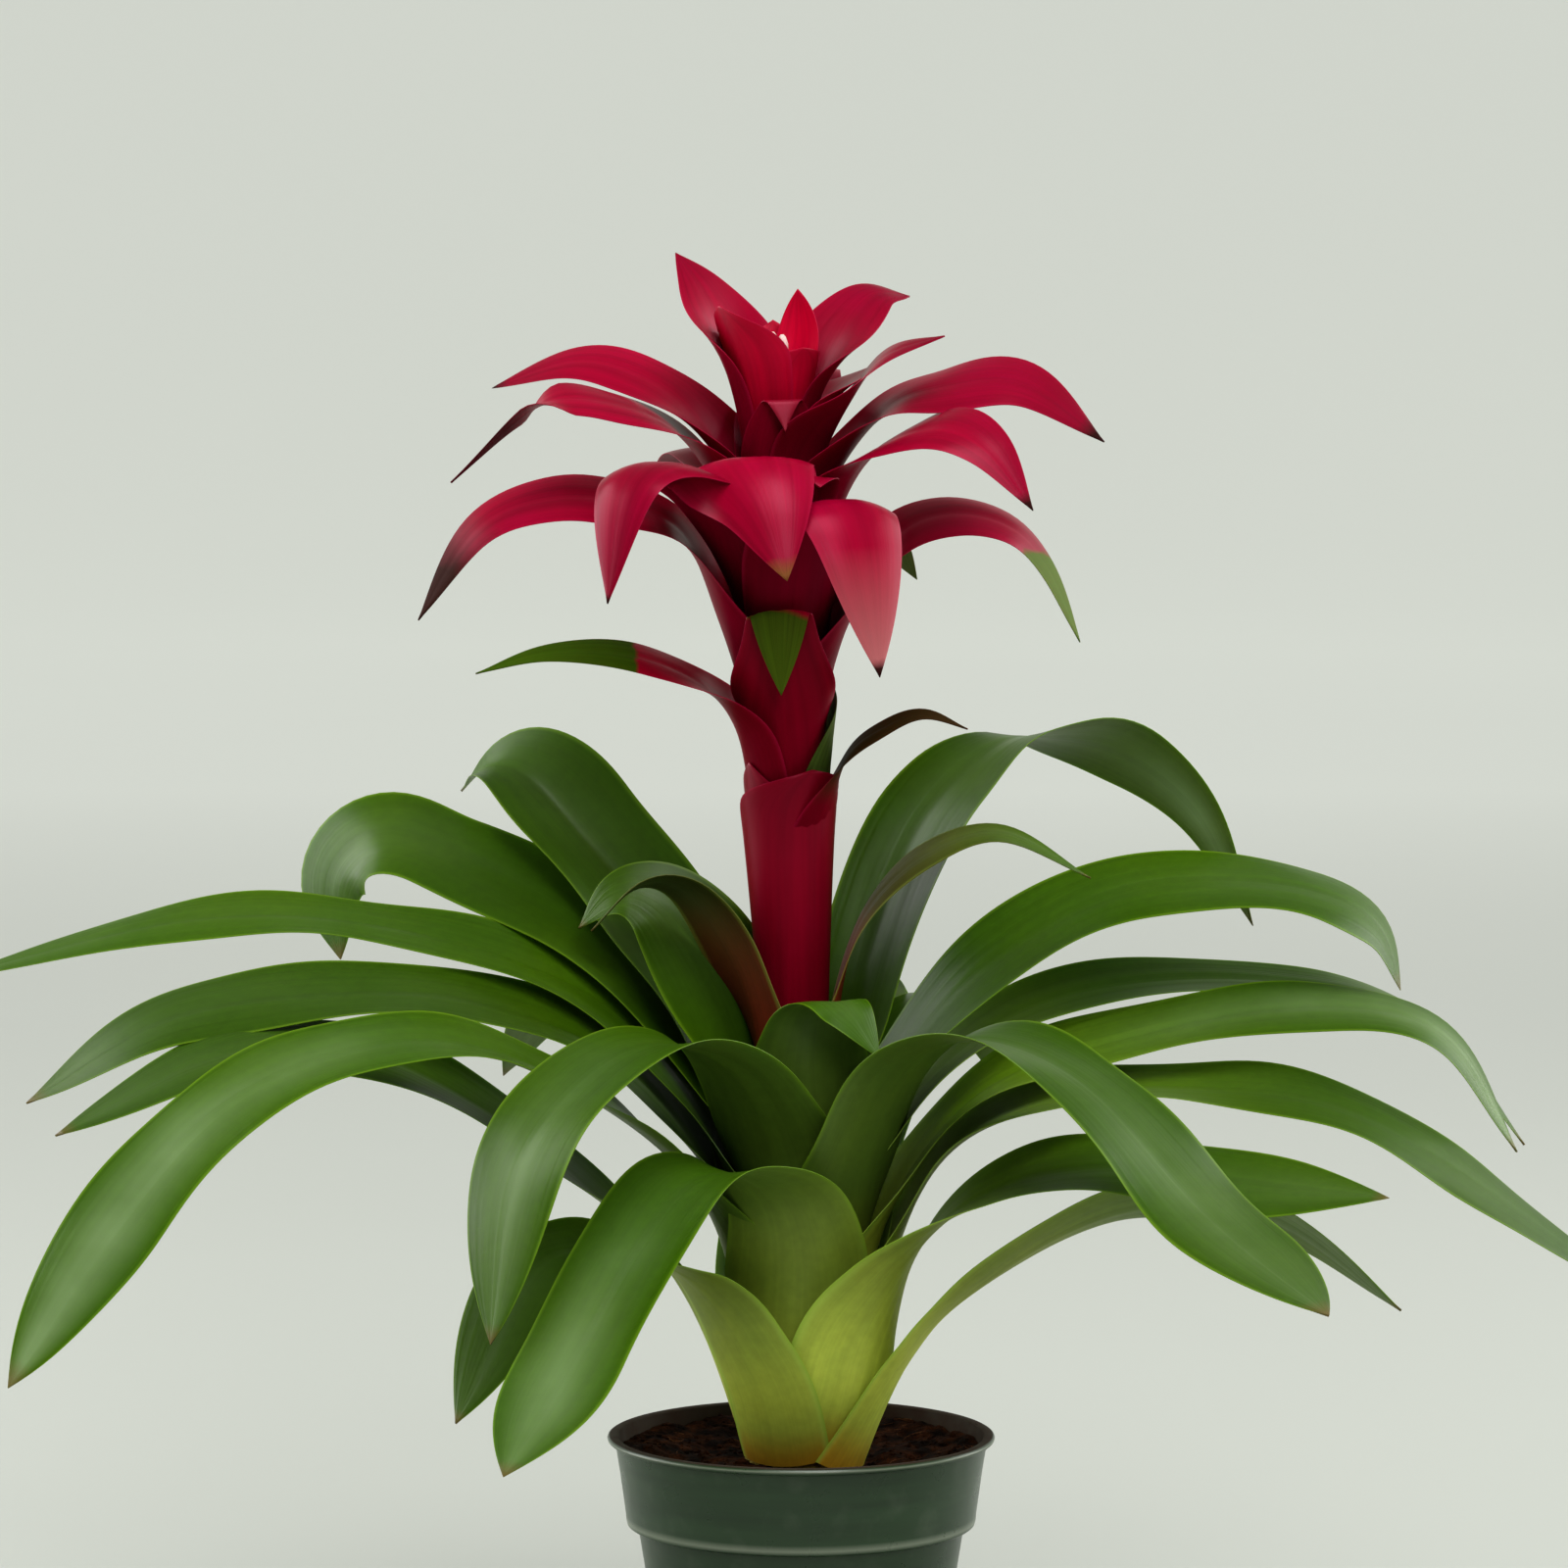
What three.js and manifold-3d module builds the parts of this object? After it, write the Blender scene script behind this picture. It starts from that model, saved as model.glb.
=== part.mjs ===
// A potted bromeliad: a rosette of strap leaves round a short stem, a leaning
// flower spike wrapped in bracts, and the thin nursery pot of soil that it grows in.
// Millimetres, +Z up, origin at the middle of the pot's underside.
import * as THREE from 'three';
import { mergeVertices } from 'three/addons/utils/BufferGeometryUtils.js';
import Module from 'manifold-3d';

const wasm = await Module();
wasm.setup();

// ---- Driving dimensions ----
const POT_HEIGHT = 127;
const LIP_RADIUS = 76;
const COLLAR_TOP_RADIUS = 73;
const COLLAR_BOTTOM_RADIUS = 68.5;
const COLLAR_HEIGHT = 34;
const BODY_TOP_RADIUS = 64;
const FOOT_RADIUS = 50;
const FOOT_WIDTH = 4;
const FOOT_HEIGHT = 3;
const PAD_RADIUS = 18;
const POT_WALL = 1.4;
const POT_SEGMENTS = 40;
const DRAIN_HOLES = 8;
const DRAIN_RADIUS = 5;
const DRAIN_CIRCLE = 32;

const SOIL_LEVEL = 117;
const SOIL_CROWN_RADIUS = 36;
const SOIL_EDGE_DROP = 4;
const GAP = 0.4;

const CROWN_RADIUS = 30; // where the lowest leaf joins the short stem
const NECK_RADIUS = 11.5; // where the highest leaf joins it
const NECK_HEIGHT = 80; // above the soil
const STEM_CLEARANCE = 1.6;
const SPIKE_HEIGHT = 400; // top of the flower stem above the soil
const SPIKE_LEAN = 0.03; // radians, towards -X, from the neck up

const LEAF_THICKNESS = 0.9;
const BRACT_THICKNESS = 0.8;
const MAX_WRAP = 1; // radians that half a sheath may wrap round the stem

const radians = THREE.MathUtils.degToRad;

// ---- Materials ----
function finish(color, roughness) {
  return new THREE.MeshStandardMaterial({ color, roughness, metalness: 0 });
}
const potPlastic = () => finish(0x1f4a38, 0.4);
const peat = () => finish(0x2e1c12, 0.95);
const leafGreen = () => finish(0x3f7a1c, 0.35);
const bronzeGreen = () => finish(0x5a3a18, 0.4);
const stemRed = () => finish(0x8a1a2c, 0.5);
const bractRed = () => finish(0xa80f2c, 0.35);
const cupRed = () => finish(0xc0203c, 0.35);
const petalWhite = () => finish(0xf2e3dc, 0.5);

// ---- Solids for cutting ----
function solidOf(geometry) {
  const bare = geometry.clone();
  bare.deleteAttribute('normal');
  bare.deleteAttribute('uv');
  const merged = mergeVertices(bare, 1e-3);
  const vertProperties = new Float32Array(merged.attributes.position.array);
  const triVerts = new Uint32Array(merged.index.array);
  return new wasm.Manifold(new wasm.Mesh({ numProp: 3, vertProperties, triVerts }));
}

function geometryOf(solid) {
  const mesh = solid.getMesh();
  const geometry = new THREE.BufferGeometry();
  geometry.setAttribute('position', new THREE.BufferAttribute(mesh.vertProperties, 3));
  geometry.setIndex(new THREE.BufferAttribute(mesh.triVerts, 1));
  return geometry;
}

// A lathe profile is a list of [radius, height]; it turns round +Z.
function turned(profile, segments) {
  const points = profile.map(([r, h]) => new THREE.Vector2(r, h));
  return new THREE.LatheGeometry(points, segments).rotateX(Math.PI / 2);
}

// ---- Pot and soil ----
const collarBottom = POT_HEIGHT - COLLAR_HEIGHT;
const innerFloor = FOOT_HEIGHT + POT_WALL;
const floorInnerRadius = FOOT_RADIUS - POT_WALL;
const bodyInnerRadius = BODY_TOP_RADIUS - POT_WALL;
const collarInnerBottom = COLLAR_BOTTOM_RADIUS - POT_WALL;
const collarInnerTop = COLLAR_TOP_RADIUS - POT_WALL;

function potGeometry() {
  const shell = solidOf(turned([
    [0, 0],
    [PAD_RADIUS, 0],
    [PAD_RADIUS + 1, FOOT_HEIGHT],
    [FOOT_RADIUS - FOOT_WIDTH - 1, FOOT_HEIGHT],
    [FOOT_RADIUS - FOOT_WIDTH, 0],
    [FOOT_RADIUS, 0],
    [BODY_TOP_RADIUS, collarBottom - 2],
    [COLLAR_BOTTOM_RADIUS, collarBottom],
    [COLLAR_TOP_RADIUS, POT_HEIGHT - 2.5],
    [LIP_RADIUS, POT_HEIGHT - 1.2],
    [LIP_RADIUS, POT_HEIGHT],
    [collarInnerTop, POT_HEIGHT],
    [collarInnerBottom, collarBottom + POT_WALL],
    [bodyInnerRadius, collarBottom - 1],
    [floorInnerRadius, innerFloor],
    [0, innerFloor],
  ], POT_SEGMENTS));
  let pot = shell;
  for (let i = 0; i < DRAIN_HOLES; i++) {
    const angle = (2 * Math.PI * i) / DRAIN_HOLES;
    const drill = new THREE.CylinderGeometry(DRAIN_RADIUS, DRAIN_RADIUS, 12, 12);
    drill.rotateX(Math.PI / 2);
    drill.translate(DRAIN_CIRCLE * Math.cos(angle), DRAIN_CIRCLE * Math.sin(angle), FOOT_HEIGHT);
    pot = pot.subtract(solidOf(drill));
  }
  return geometryOf(pot);
}

function soilGeometry() {
  const edgeHeight = SOIL_LEVEL - SOIL_EDGE_DROP;
  const rise = (edgeHeight - collarBottom) / COLLAR_HEIGHT;
  const edgeRadius = THREE.MathUtils.lerp(collarInnerBottom, collarInnerTop, rise) - 2 * GAP;
  return turned([
    [0, innerFloor + GAP],
    [floorInnerRadius - 2 * GAP, innerFloor + GAP],
    [bodyInnerRadius - 2 * GAP, collarBottom - 1],
    [collarInnerBottom - 2 * GAP, collarBottom + POT_WALL + 2 * GAP],
    [edgeRadius, edgeHeight],
    [SOIL_CROWN_RADIUS + 12, SOIL_LEVEL - 1],
    [SOIL_CROWN_RADIUS, SOIL_LEVEL],
    [0, SOIL_LEVEL],
  ], POT_SEGMENTS);
}

// ---- Stem: the short thick base in the rosette, and the flower stem on it ----
const FLOWER_STEM_RADIUS = NECK_RADIUS - STEM_CLEARANCE;

function crownGeometry() {
  return turned([
    [0, GAP],
    [CROWN_RADIUS - STEM_CLEARANCE, GAP],
    [FLOWER_STEM_RADIUS, NECK_HEIGHT],
    [0, NECK_HEIGHT],
  ], 24);
}

function flowerStemGeometry() {
  return turned([
    [0, NECK_HEIGHT + GAP],
    [FLOWER_STEM_RADIUS - 0.6, NECK_HEIGHT + GAP],
    [FLOWER_STEM_RADIUS - 0.2, 300],
    [FLOWER_STEM_RADIUS - 1, 366],
    [4, SPIKE_HEIGHT],
    [0, SPIKE_HEIGHT],
  ], 24);
}

// ---- Leaves and bracts ----
// A blade follows a curve of [radius, height, turn] points: radius out from the axis,
// height above the soil, and degrees that the point lies off the blade's azimuth.
// It clasps the stem at its foot, opens to a shallow channel and tapers to a point.
const LEAF_FORM = {
  half: 22, // half of the blade's width
  sheath: 32, // half of the foot's width
  clasp: 70, // length over which the foot narrows to the blade
  tip: 0.72, // share of the length where the point starts
  blunt: 2.2, // higher is a blunter point
  channel: 14, // degrees that each margin turns up
  keel: 0,
  roll: 0, // degrees that the whole blade leans to one side
  twist: null, // [from, to, degrees] along the length
  thickness: LEAF_THICKNESS,
  across: 6,
  claspSpans: 4,
  bladeSpans: 10,
};
const BRACT_FORM = {
  ...LEAF_FORM,
  half: 15,
  sheath: 22,
  clasp: 60,
  tip: 0.5,
  blunt: 1.8,
  thickness: BRACT_THICKNESS,
  across: 4,
  claspSpans: 4,
  bladeSpans: 8,
};

function bladeCurve(blade) {
  const points = blade.path.map(([radius, height, turn = 0]) => {
    const angle = radians(blade.azimuth + turn);
    return new THREE.Vector3(radius * Math.cos(angle), radius * Math.sin(angle), height);
  });
  return new THREE.CatmullRomCurve3(points, false, 'catmullrom', 0.5);
}

// One cross-section: a thin lens bent round the stem at the foot, and a channel further out.
function bladeSection(blade, curve, length, s) {
  const { smoothstep, lerp, clamp } = THREE.MathUtils;
  const clasp = blade.clasp / length;
  const open = smoothstep(s, clasp * 0.5, clasp * 1.5);
  const centre = curve.getPointAt(s);
  const along = curve.getTangentAt(s);
  const reach = Math.hypot(centre.x, centre.y);
  const bend = lerp(Math.max(along.z, 0.02) / reach, radians(blade.channel) / blade.half, open);
  const point = clamp((s - blade.tip) / (1 - blade.tip), 0, 1);
  const full = lerp(blade.sheath, blade.half, smoothstep(s, 0, clasp));
  const half = Math.min(full, MAX_WRAP / bend) * (1 - point ** blade.blunt);
  let roll = radians(blade.roll) * smoothstep(s, clasp * 0.4, Math.min(1, clasp * 2.2));
  if (blade.twist) {
    const [from, to, degrees] = blade.twist;
    roll += radians(degrees) * smoothstep(s, from, to);
  }
  const side = new THREE.Vector3(-centre.y, centre.x, 0).normalize();
  side.addScaledVector(along, -side.dot(along)).normalize();
  const up = new THREE.Vector3().crossVectors(along, side);
  side.applyAxisAngle(along, roll);
  up.applyAxisAngle(along, roll);
  const place = (v, skin) => {
    const angle = v * half * bend;
    const out = Math.sin(angle) / bend;
    const keel = blade.keel * open * (Math.hypot(v * half, 3) - 3);
    const lift = (1 - Math.cos(angle)) / bend + keel;
    const thick = skin * (1 - v ** 4);
    return centre.clone()
      .addScaledVector(side, out - thick * Math.sin(angle))
      .addScaledVector(up, lift + thick * Math.cos(angle));
  };
  return { centre, place };
}

function bladeGeometry(blade) {
  const curve = bladeCurve(blade);
  const length = curve.getLength();
  const foot = Math.min(0.45, blade.clasp / length);
  const stations = [];
  for (let i = 0; i < blade.claspSpans; i++) {
    stations.push((foot * i) / blade.claspSpans);
  }
  for (let i = 0; i < blade.bladeSpans; i++) {
    stations.push(foot + ((1 - foot) * i) / blade.bladeSpans);
  }
  const across = blade.across;
  const ring = 2 * across;
  const positions = [];
  for (const s of stations) {
    const { place } = bladeSection(blade, curve, length, s);
    for (let j = 0; j < ring; j++) {
      const upper = j <= across;
      const v = upper ? (2 * j) / across - 1 : 3 - (2 * j) / across;
      positions.push(...place(v, (upper ? 0.5 : -0.5) * blade.thickness).toArray());
    }
  }
  positions.push(...curve.getPoint(1).toArray());

  const index = [];
  const last = stations.length - 1;
  for (let i = 0; i < last; i++) {
    for (let j = 0; j < ring; j++) {
      const k = (j + 1) % ring;
      const a = i * ring + j;
      const b = i * ring + k;
      index.push(a, a + ring, b);
      index.push(b, a + ring, b + ring);
    }
  }
  const tip = stations.length * ring;
  for (let j = 0; j < ring; j++) {
    index.push(last * ring + j, tip, last * ring + ((j + 1) % ring));
  }
  for (let j = 0; j < across; j++) {
    const k = (ring - j) % ring;
    if (j > 0) index.push(j, j + 1, k);
    if (j < across - 1) index.push(j + 1, ring - j - 1, k);
  }
  const geometry = new THREE.BufferGeometry();
  geometry.setAttribute('position', new THREE.Float32BufferAttribute(positions, 3));
  geometry.setIndex(index);
  return geometry;
}

// The rosette's leaves, lowest and outermost first. Each joins the stem a little
// higher and further in than the one before.
const rosetteLeaves = [
  [-12, [[42, 40], [62, 69], [102, 94], [140, 104], [188, 101], [236, 67]], { half: 17, roll: 5, tip: 0.7 }],
  [217, [[38, 34, 26], [52, 66, 6], [66, 81], [84, 91], [106, 94], [131, 86], [164, 32]], { half: 20, roll: -20, turn: 35 }],
  [-22, [[38, 53], [60, 101], [100, 120], [140, 123], [186, 119], [240, 117]], { half: 24, roll: 22 }],
  [194, [[37, 48], [52, 76], [70, 97], [120, 138], [175, 167], [230, 167], [293, 138]], { half: 20, roll: -22, tip: 0.75 }],
  [100, [[38, 63], [66, 118], [110, 145], [165, 138], [220, 88]], {}],
  [-6, [[35, 76], [55, 121], [93, 143], [150, 149], [222, 138], [321, 73]], { half: 20, roll: 16, tip: 0.8 }],
  [240, [[30, 54, 24], [50, 95, 8], [88, 115], [128, 101], [172, 66], [219, 29]], { half: 24, tip: 0.8, turn: 25 }],
  [208, [[29.5, 81], [50, 116], [84, 144], [134, 170], [186, 175], [246, 156], [294, 110], [333, 56]],
    { half: 19, roll: -18, tip: 0.82, blunt: 2.6, twist: [0.5, 0.85, -20] }],
  [60, [[36, 93], [66, 145], [110, 168], [150, 161], [175, 123]], {}],
  [2, [[34, 98], [70, 145], [124, 165], [195, 178], [250, 168], [281, 120]], { half: 19, roll: 22 }],
  [186, [[33.5, 108], [70, 157], [115, 179], [165, 187], [243, 179], [301, 145]], { roll: -22, tip: 0.78 }],
  [125, [[28.5, 105], [61, 163], [115, 181], [165, 173], [215, 128]], {}],
  [-43, [[26, 92], [41, 139], [65, 167], [102, 174], [150, 160], [205, 120], [264, 87]],
    { half: 27, tip: 0.86, blunt: 2.6 }],
  [172, [[26, 106], [49, 151], [88, 185], [160, 207], [240, 210], [345, 183]], { half: 18, roll: -22, tip: 0.6 }],
  [15, [[28, 114], [68, 162], [120, 182], [192, 183], [258, 166], [301, 113]], { half: 18, roll: 16 }],
  [80, [[25, 118], [60, 163], [100, 177], [150, 161], [195, 113]], {}],
  [231, [[25, 118, 14], [48, 157, 8], [85, 173], [130, 165], [170, 133], [184, 70]], { half: 24, tip: 0.75, turn: 15 }],
  [8, [[22, 116], [46, 163], [80, 198], [130, 223], [190, 224], [228, 209], [239, 181]],
    { half: 23, roll: 24, tip: 0.84 }],
  [155, [[20.5, 113], [43, 160], [88, 201], [138, 226], [183, 239], [208, 221], [204, 187]],
    { half: 25, roll: -24, tip: 0.8 }],
  [20, [[17.8, 128], [28, 188], [50, 241], [86, 271], [128, 270], [168, 247], [192, 203]], { half: 24, roll: 22 }],
  [142, [[16.2, 86], [18.6, 119], [43, 167], [76, 207], [112, 240], [140, 262], [160, 264], [174, 253]],
    { half: 27, roll: -25, keel: 0.2, tip: 0.78 }],
  [172, [[13.8, 106], [17.5, 135], [32, 173], [50, 205], [68, 217], [82, 209]], { half: 22, roll: -20 }],
  [-74, [[17.4, 127], [22, 163], [32, 177], [46, 172], [54, 152]], { half: 20, tip: 0.5 }],
];

function insertion(order, turn = 0) {
  const share = order / (rosetteLeaves.length + 1);
  const radius = THREE.MathUtils.lerp(CROWN_RADIUS, NECK_RADIUS, share);
  return [radius, 1 + NECK_HEIGHT * share, turn];
}

// The flower spike's leaves and bracts, lowest first: [name, azimuth, path, form].
const upright = (radius, height, rise) => [
  [radius, height],
  [radius + 3.5, height + rise * 0.4],
  [radius + 7, height + rise * 0.75],
  [radius + 11, height + rise],
];
const CLASPING = { clasp: 200 };
const spikeBlades = [
  ['scape_leaf_left', 200, [[11.5, 84], [12.6, 140], [16, 182], [26, 213], [43, 235], [68, 237], [94, 213]],
    { sheath: 32, half: 20, roll: 25 }],
  ['scape_leaf_right', -15, [[11.5, 96], [15, 150], [20, 190], [31, 217], [54, 238], [85, 247], [120, 229]],
    { sheath: 30, half: 11, roll: 30 }],
  ['scape_bract_1', -60, upright(11.5, 145, 90), CLASPING],
  ['scape_bract_2', 120, upright(11.5, 163, 95), CLASPING],
  ['scape_bract_3', 215, upright(11.5, 181, 95), CLASPING],
  ['scape_bract_4', -15, [[11.5, 201], [17, 250], [24, 276], [40, 288], [56, 293], [73, 287]],
    { half: 8, tip: 0.3 }],
  ['scape_bract_5', 45, upright(11.5, 218, 90), CLASPING],
  ['scape_bract_6', 188, [[11.5, 233], [15, 268], [20, 291], [33, 307], [60, 319], [92, 321], [120, 314]],
    { half: 14, roll: -30, blunt: 1.2 }],
  ['scape_bract_7', -80, upright(11.5, 245, 88), CLASPING],
  ['flower_bract_01', 12, [[12, 268], [16, 298], [27, 333], [46, 361], [68, 369], [92, 363], [107, 346], [119, 316]],
    { half: 14, roll: 25 }],
  ['flower_bract_02', 185, [[12, 275], [16.5, 303], [25, 333], [37, 365], [60, 378], [88, 381], [117, 370], [141, 335]],
    { half: 14, roll: -22, tip: 0.6 }],
  ['flower_bract_03', 95, [[12, 283], [18.5, 318], [34, 353], [65, 368], [95, 353], [110, 318]], {}],
  ['flower_bract_04', -62, [[12, 290], [19, 333], [32, 367], [52, 379], [68, 363], [78, 312]], { half: 21 }],
  ['flower_bract_05', 232, [[12, 298], [18.5, 339], [38, 378], [66, 395], [94, 388], [106, 344]], { half: 17 }],
  ['flower_bract_06', 50, [[12, 304], [20, 335], [35, 361], [60, 367], [85, 351]], { tip: 0.4 }],
  ['flower_bract_07', -88, [[12, 311], [18, 348], [30, 380], [50, 390], [66, 377], [76, 353]], { half: 22 }],
  ['flower_bract_08', -32, [[12, 318], [19, 358], [37, 391], [71, 405], [94, 398], [114, 373]],
    { half: 15, roll: 28 }],
  ['flower_bract_09', 125, [[12, 325], [19, 363], [35, 390], [60, 395], [90, 375]], {}],
  ['flower_bract_10', 196, [[12, 332], [18, 368], [38, 403], [66, 417], [95, 417], [130, 389]],
    { half: 15, roll: -28, twist: [0.68, 0.8, 70] }],
  ['flower_bract_11', -6, [[12, 339], [19, 378], [42, 410], [65, 419], [96, 420], [127, 396]],
    { half: 16, roll: 32 }],
  ['flower_bract_12', 163, [[12, 346], [18, 383], [36, 413], [59, 428], [83, 432], [116, 422]],
    { half: 13, roll: -32 }],
  ['flower_bract_13', 75, [[12, 353], [18.5, 393], [33, 416], [60, 425], [85, 408]], { half: 13 }],
  ['flower_bract_14', -20, [[11.7, 360], [18, 393], [32, 417], [46, 432], [70, 439]], { half: 11, roll: 20 }],
  ['flower_bract_15', 20, [[11.5, 367], [16, 400], [26, 418], [46, 429]], { half: 10 }],
  ['flower_bract_16', -82, [[11.3, 371], [14.8, 403], [20, 421], [28, 423], [35, 408]], {}],
  ['flower_bract_17', 30, [[11, 374], [14.6, 408], [27, 436], [44, 454], [62, 453]], { half: 16, roll: 22 }],
  ['flower_bract_18', 150, [[10.5, 379], [15, 413], [22, 441], [32, 460], [43, 473]], { half: 16, roll: -12 }],
  ['cup_bract_left', 205, [[10, 385], [14, 413], [19, 435], [24, 453]], { ...CLASPING, half: 14 }],
  ['cup_bract_right', -40, [[9.5, 390], [13, 415], [16, 432], [18, 443]], { ...CLASPING, half: 14 }],
  ['cup_bract_back', 90, [[9, 395], [12, 418], [15, 435], [17, 446]], { ...CLASPING, half: 12 }],
  ['inner_bract', 15, [[6, 403], [9, 428], [11, 445], [10, 464]], { ...CLASPING, half: 8, sheath: 12 }],
];

// A floret is a slim closed bud on a tube: [azimuth, radius, foot height, length].
const florets = [
  ['floret_1', 260, 5.5, 404, 44],
  ['floret_2', 200, 5.5, 404, 39],
];
function floretGeometry(length) {
  return turned([
    [0, 0],
    [1.4, 0],
    [1.7, length * 0.6],
    [2.2, length * 0.85],
    [1.2, length * 0.97],
    [0, length],
  ], 10);
}

// ---- Assembly ----
function named(name, geometry, material) {
  const mesh = new THREE.Mesh(geometry, material);
  mesh.name = name;
  return mesh;
}

const bromeliad = new THREE.Group();
bromeliad.add(named('pot', potGeometry(), potPlastic()));
bromeliad.add(named('soil', soilGeometry(), peat()));

const plant = new THREE.Group();
plant.position.z = SOIL_LEVEL;
bromeliad.add(plant);
plant.add(named('crown', crownGeometry(), leafGreen()));
rosetteLeaves.forEach(([azimuth, path, form], order) => {
  const name = `leaf_${String(order + 1).padStart(2, '0')}`;
  const foot = insertion(order, form.turn);
  const blade = { ...LEAF_FORM, ...form, azimuth, path: [foot, ...path] };
  plant.add(named(name, bladeGeometry(blade), leafGreen()));
});

const spike = new THREE.Group();
spike.position.z = NECK_HEIGHT;
spike.rotation.y = -SPIKE_LEAN;
plant.add(spike);
const spikeParts = new THREE.Group();
spikeParts.position.z = -NECK_HEIGHT;
spike.add(spikeParts);
spikeParts.add(named('flower_stem', flowerStemGeometry(), stemRed()));
for (const [name, azimuth, path, form] of spikeBlades) {
  const blade = { ...BRACT_FORM, ...form, azimuth, path };
  const leafy = name.startsWith('scape_leaf');
  const cup = name.startsWith('cup') || name.startsWith('inner');
  const material = leafy ? bronzeGreen() : cup ? cupRed() : bractRed();
  spikeParts.add(named(name, bladeGeometry(blade), material));
}
for (const [name, azimuth, radius, height, length] of florets) {
  const floret = named(name, floretGeometry(length), petalWhite());
  const angle = radians(azimuth);
  floret.position.set(radius * Math.cos(angle), radius * Math.sin(angle), height);
  spikeParts.add(floret);
}

export default bromeliad;
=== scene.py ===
"""Potted bromeliad: the living look of the plant and its nursery pot.

Metres, +Z up, origin at the middle of the pot's underside. The blades' tables are in
millimetres, with heights measured from the top of the soil.
"""

import math
import random
from contextlib import contextmanager

import bpy
import numpy as np
from bpy.props import FloatProperty, FloatVectorProperty, IntProperty, PointerProperty
from mathutils import Matrix, Vector, noise


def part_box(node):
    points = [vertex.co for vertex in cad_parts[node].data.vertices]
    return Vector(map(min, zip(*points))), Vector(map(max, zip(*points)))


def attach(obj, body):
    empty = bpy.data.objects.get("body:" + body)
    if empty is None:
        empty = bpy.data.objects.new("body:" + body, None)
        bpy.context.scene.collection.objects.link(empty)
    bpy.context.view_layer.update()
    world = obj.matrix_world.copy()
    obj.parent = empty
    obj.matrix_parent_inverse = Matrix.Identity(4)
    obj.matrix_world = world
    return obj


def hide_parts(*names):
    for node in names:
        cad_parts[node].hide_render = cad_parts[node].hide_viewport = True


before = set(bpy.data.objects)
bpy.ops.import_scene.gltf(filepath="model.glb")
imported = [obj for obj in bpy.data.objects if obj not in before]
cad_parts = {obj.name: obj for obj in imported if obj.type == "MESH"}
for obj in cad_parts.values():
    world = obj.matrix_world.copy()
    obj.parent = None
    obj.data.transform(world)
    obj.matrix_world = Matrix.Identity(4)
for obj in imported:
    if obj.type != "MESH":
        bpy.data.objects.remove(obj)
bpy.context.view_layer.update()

bl_info = {
    "name": "Potted bromeliad",
    "version": (1, 0, 0),
    "blender": (4, 5, 0),
    "location": "View3D > Sidebar > Bromeliad",
    "description": "A bromeliad in flower, in a plastic nursery pot",
    "category": "Add Mesh",
}

MM = 0.001  # metres
POT_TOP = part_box("pot")[1].z
POT_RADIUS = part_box("pot")[1].x
SOIL_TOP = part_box("soil")[1].z
SOIL_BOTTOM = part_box("soil")[0].z

# ---- The plant's blades ----
# A blade's path is a list of (radius from the axis, height above the soil, degrees off
# its azimuth). Its form says how wide it is, how it clasps the stem and how it tapers.

LEAF_FORM = {
    "sheath": 37,  # half of the foot's width
    "clasp": 78,  # length over which the foot narrows to the blade
    "wrap": 1.5,  # radians that half a sheath may wrap round the stem
    "tip": 0.72,  # share of the length where the point starts
    "blunt": 2.2,  # higher is a blunter point
    "channel": 20,  # degrees that each margin turns up, near the stem
    "reflex": -6,  # the same towards the tip
    "turns_over": (0.4, 0.85),  # where along the length the one becomes the other
    "keel": 0.0,  # how sharply the middle is folded
    "twist": None,  # (from, to, degrees) along the length
    "ripen": 135,  # length over which the pale foot turns green
    "wave": 1.0,  # how far the margins wander
    "bloom": 0.2,  # how much pale wax and painted sheen the outer half bears
    "across": 20,  # cells of the grid across the width
    "along": 96,  # the same along the length
}
BRACT_FORM = {
    **LEAF_FORM,
    "sheath": 28,
    "clasp": 75,
    "wrap": 1.6,
    "tip": 0.45,
    "blunt": 1.9,
    "channel": 26,
    "reflex": -10,
    "turns_over": (0.28, 0.6),
    "ripen": 60,
    "wave": 0.7,
    "across": 16,
    "along": 64,
}

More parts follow.
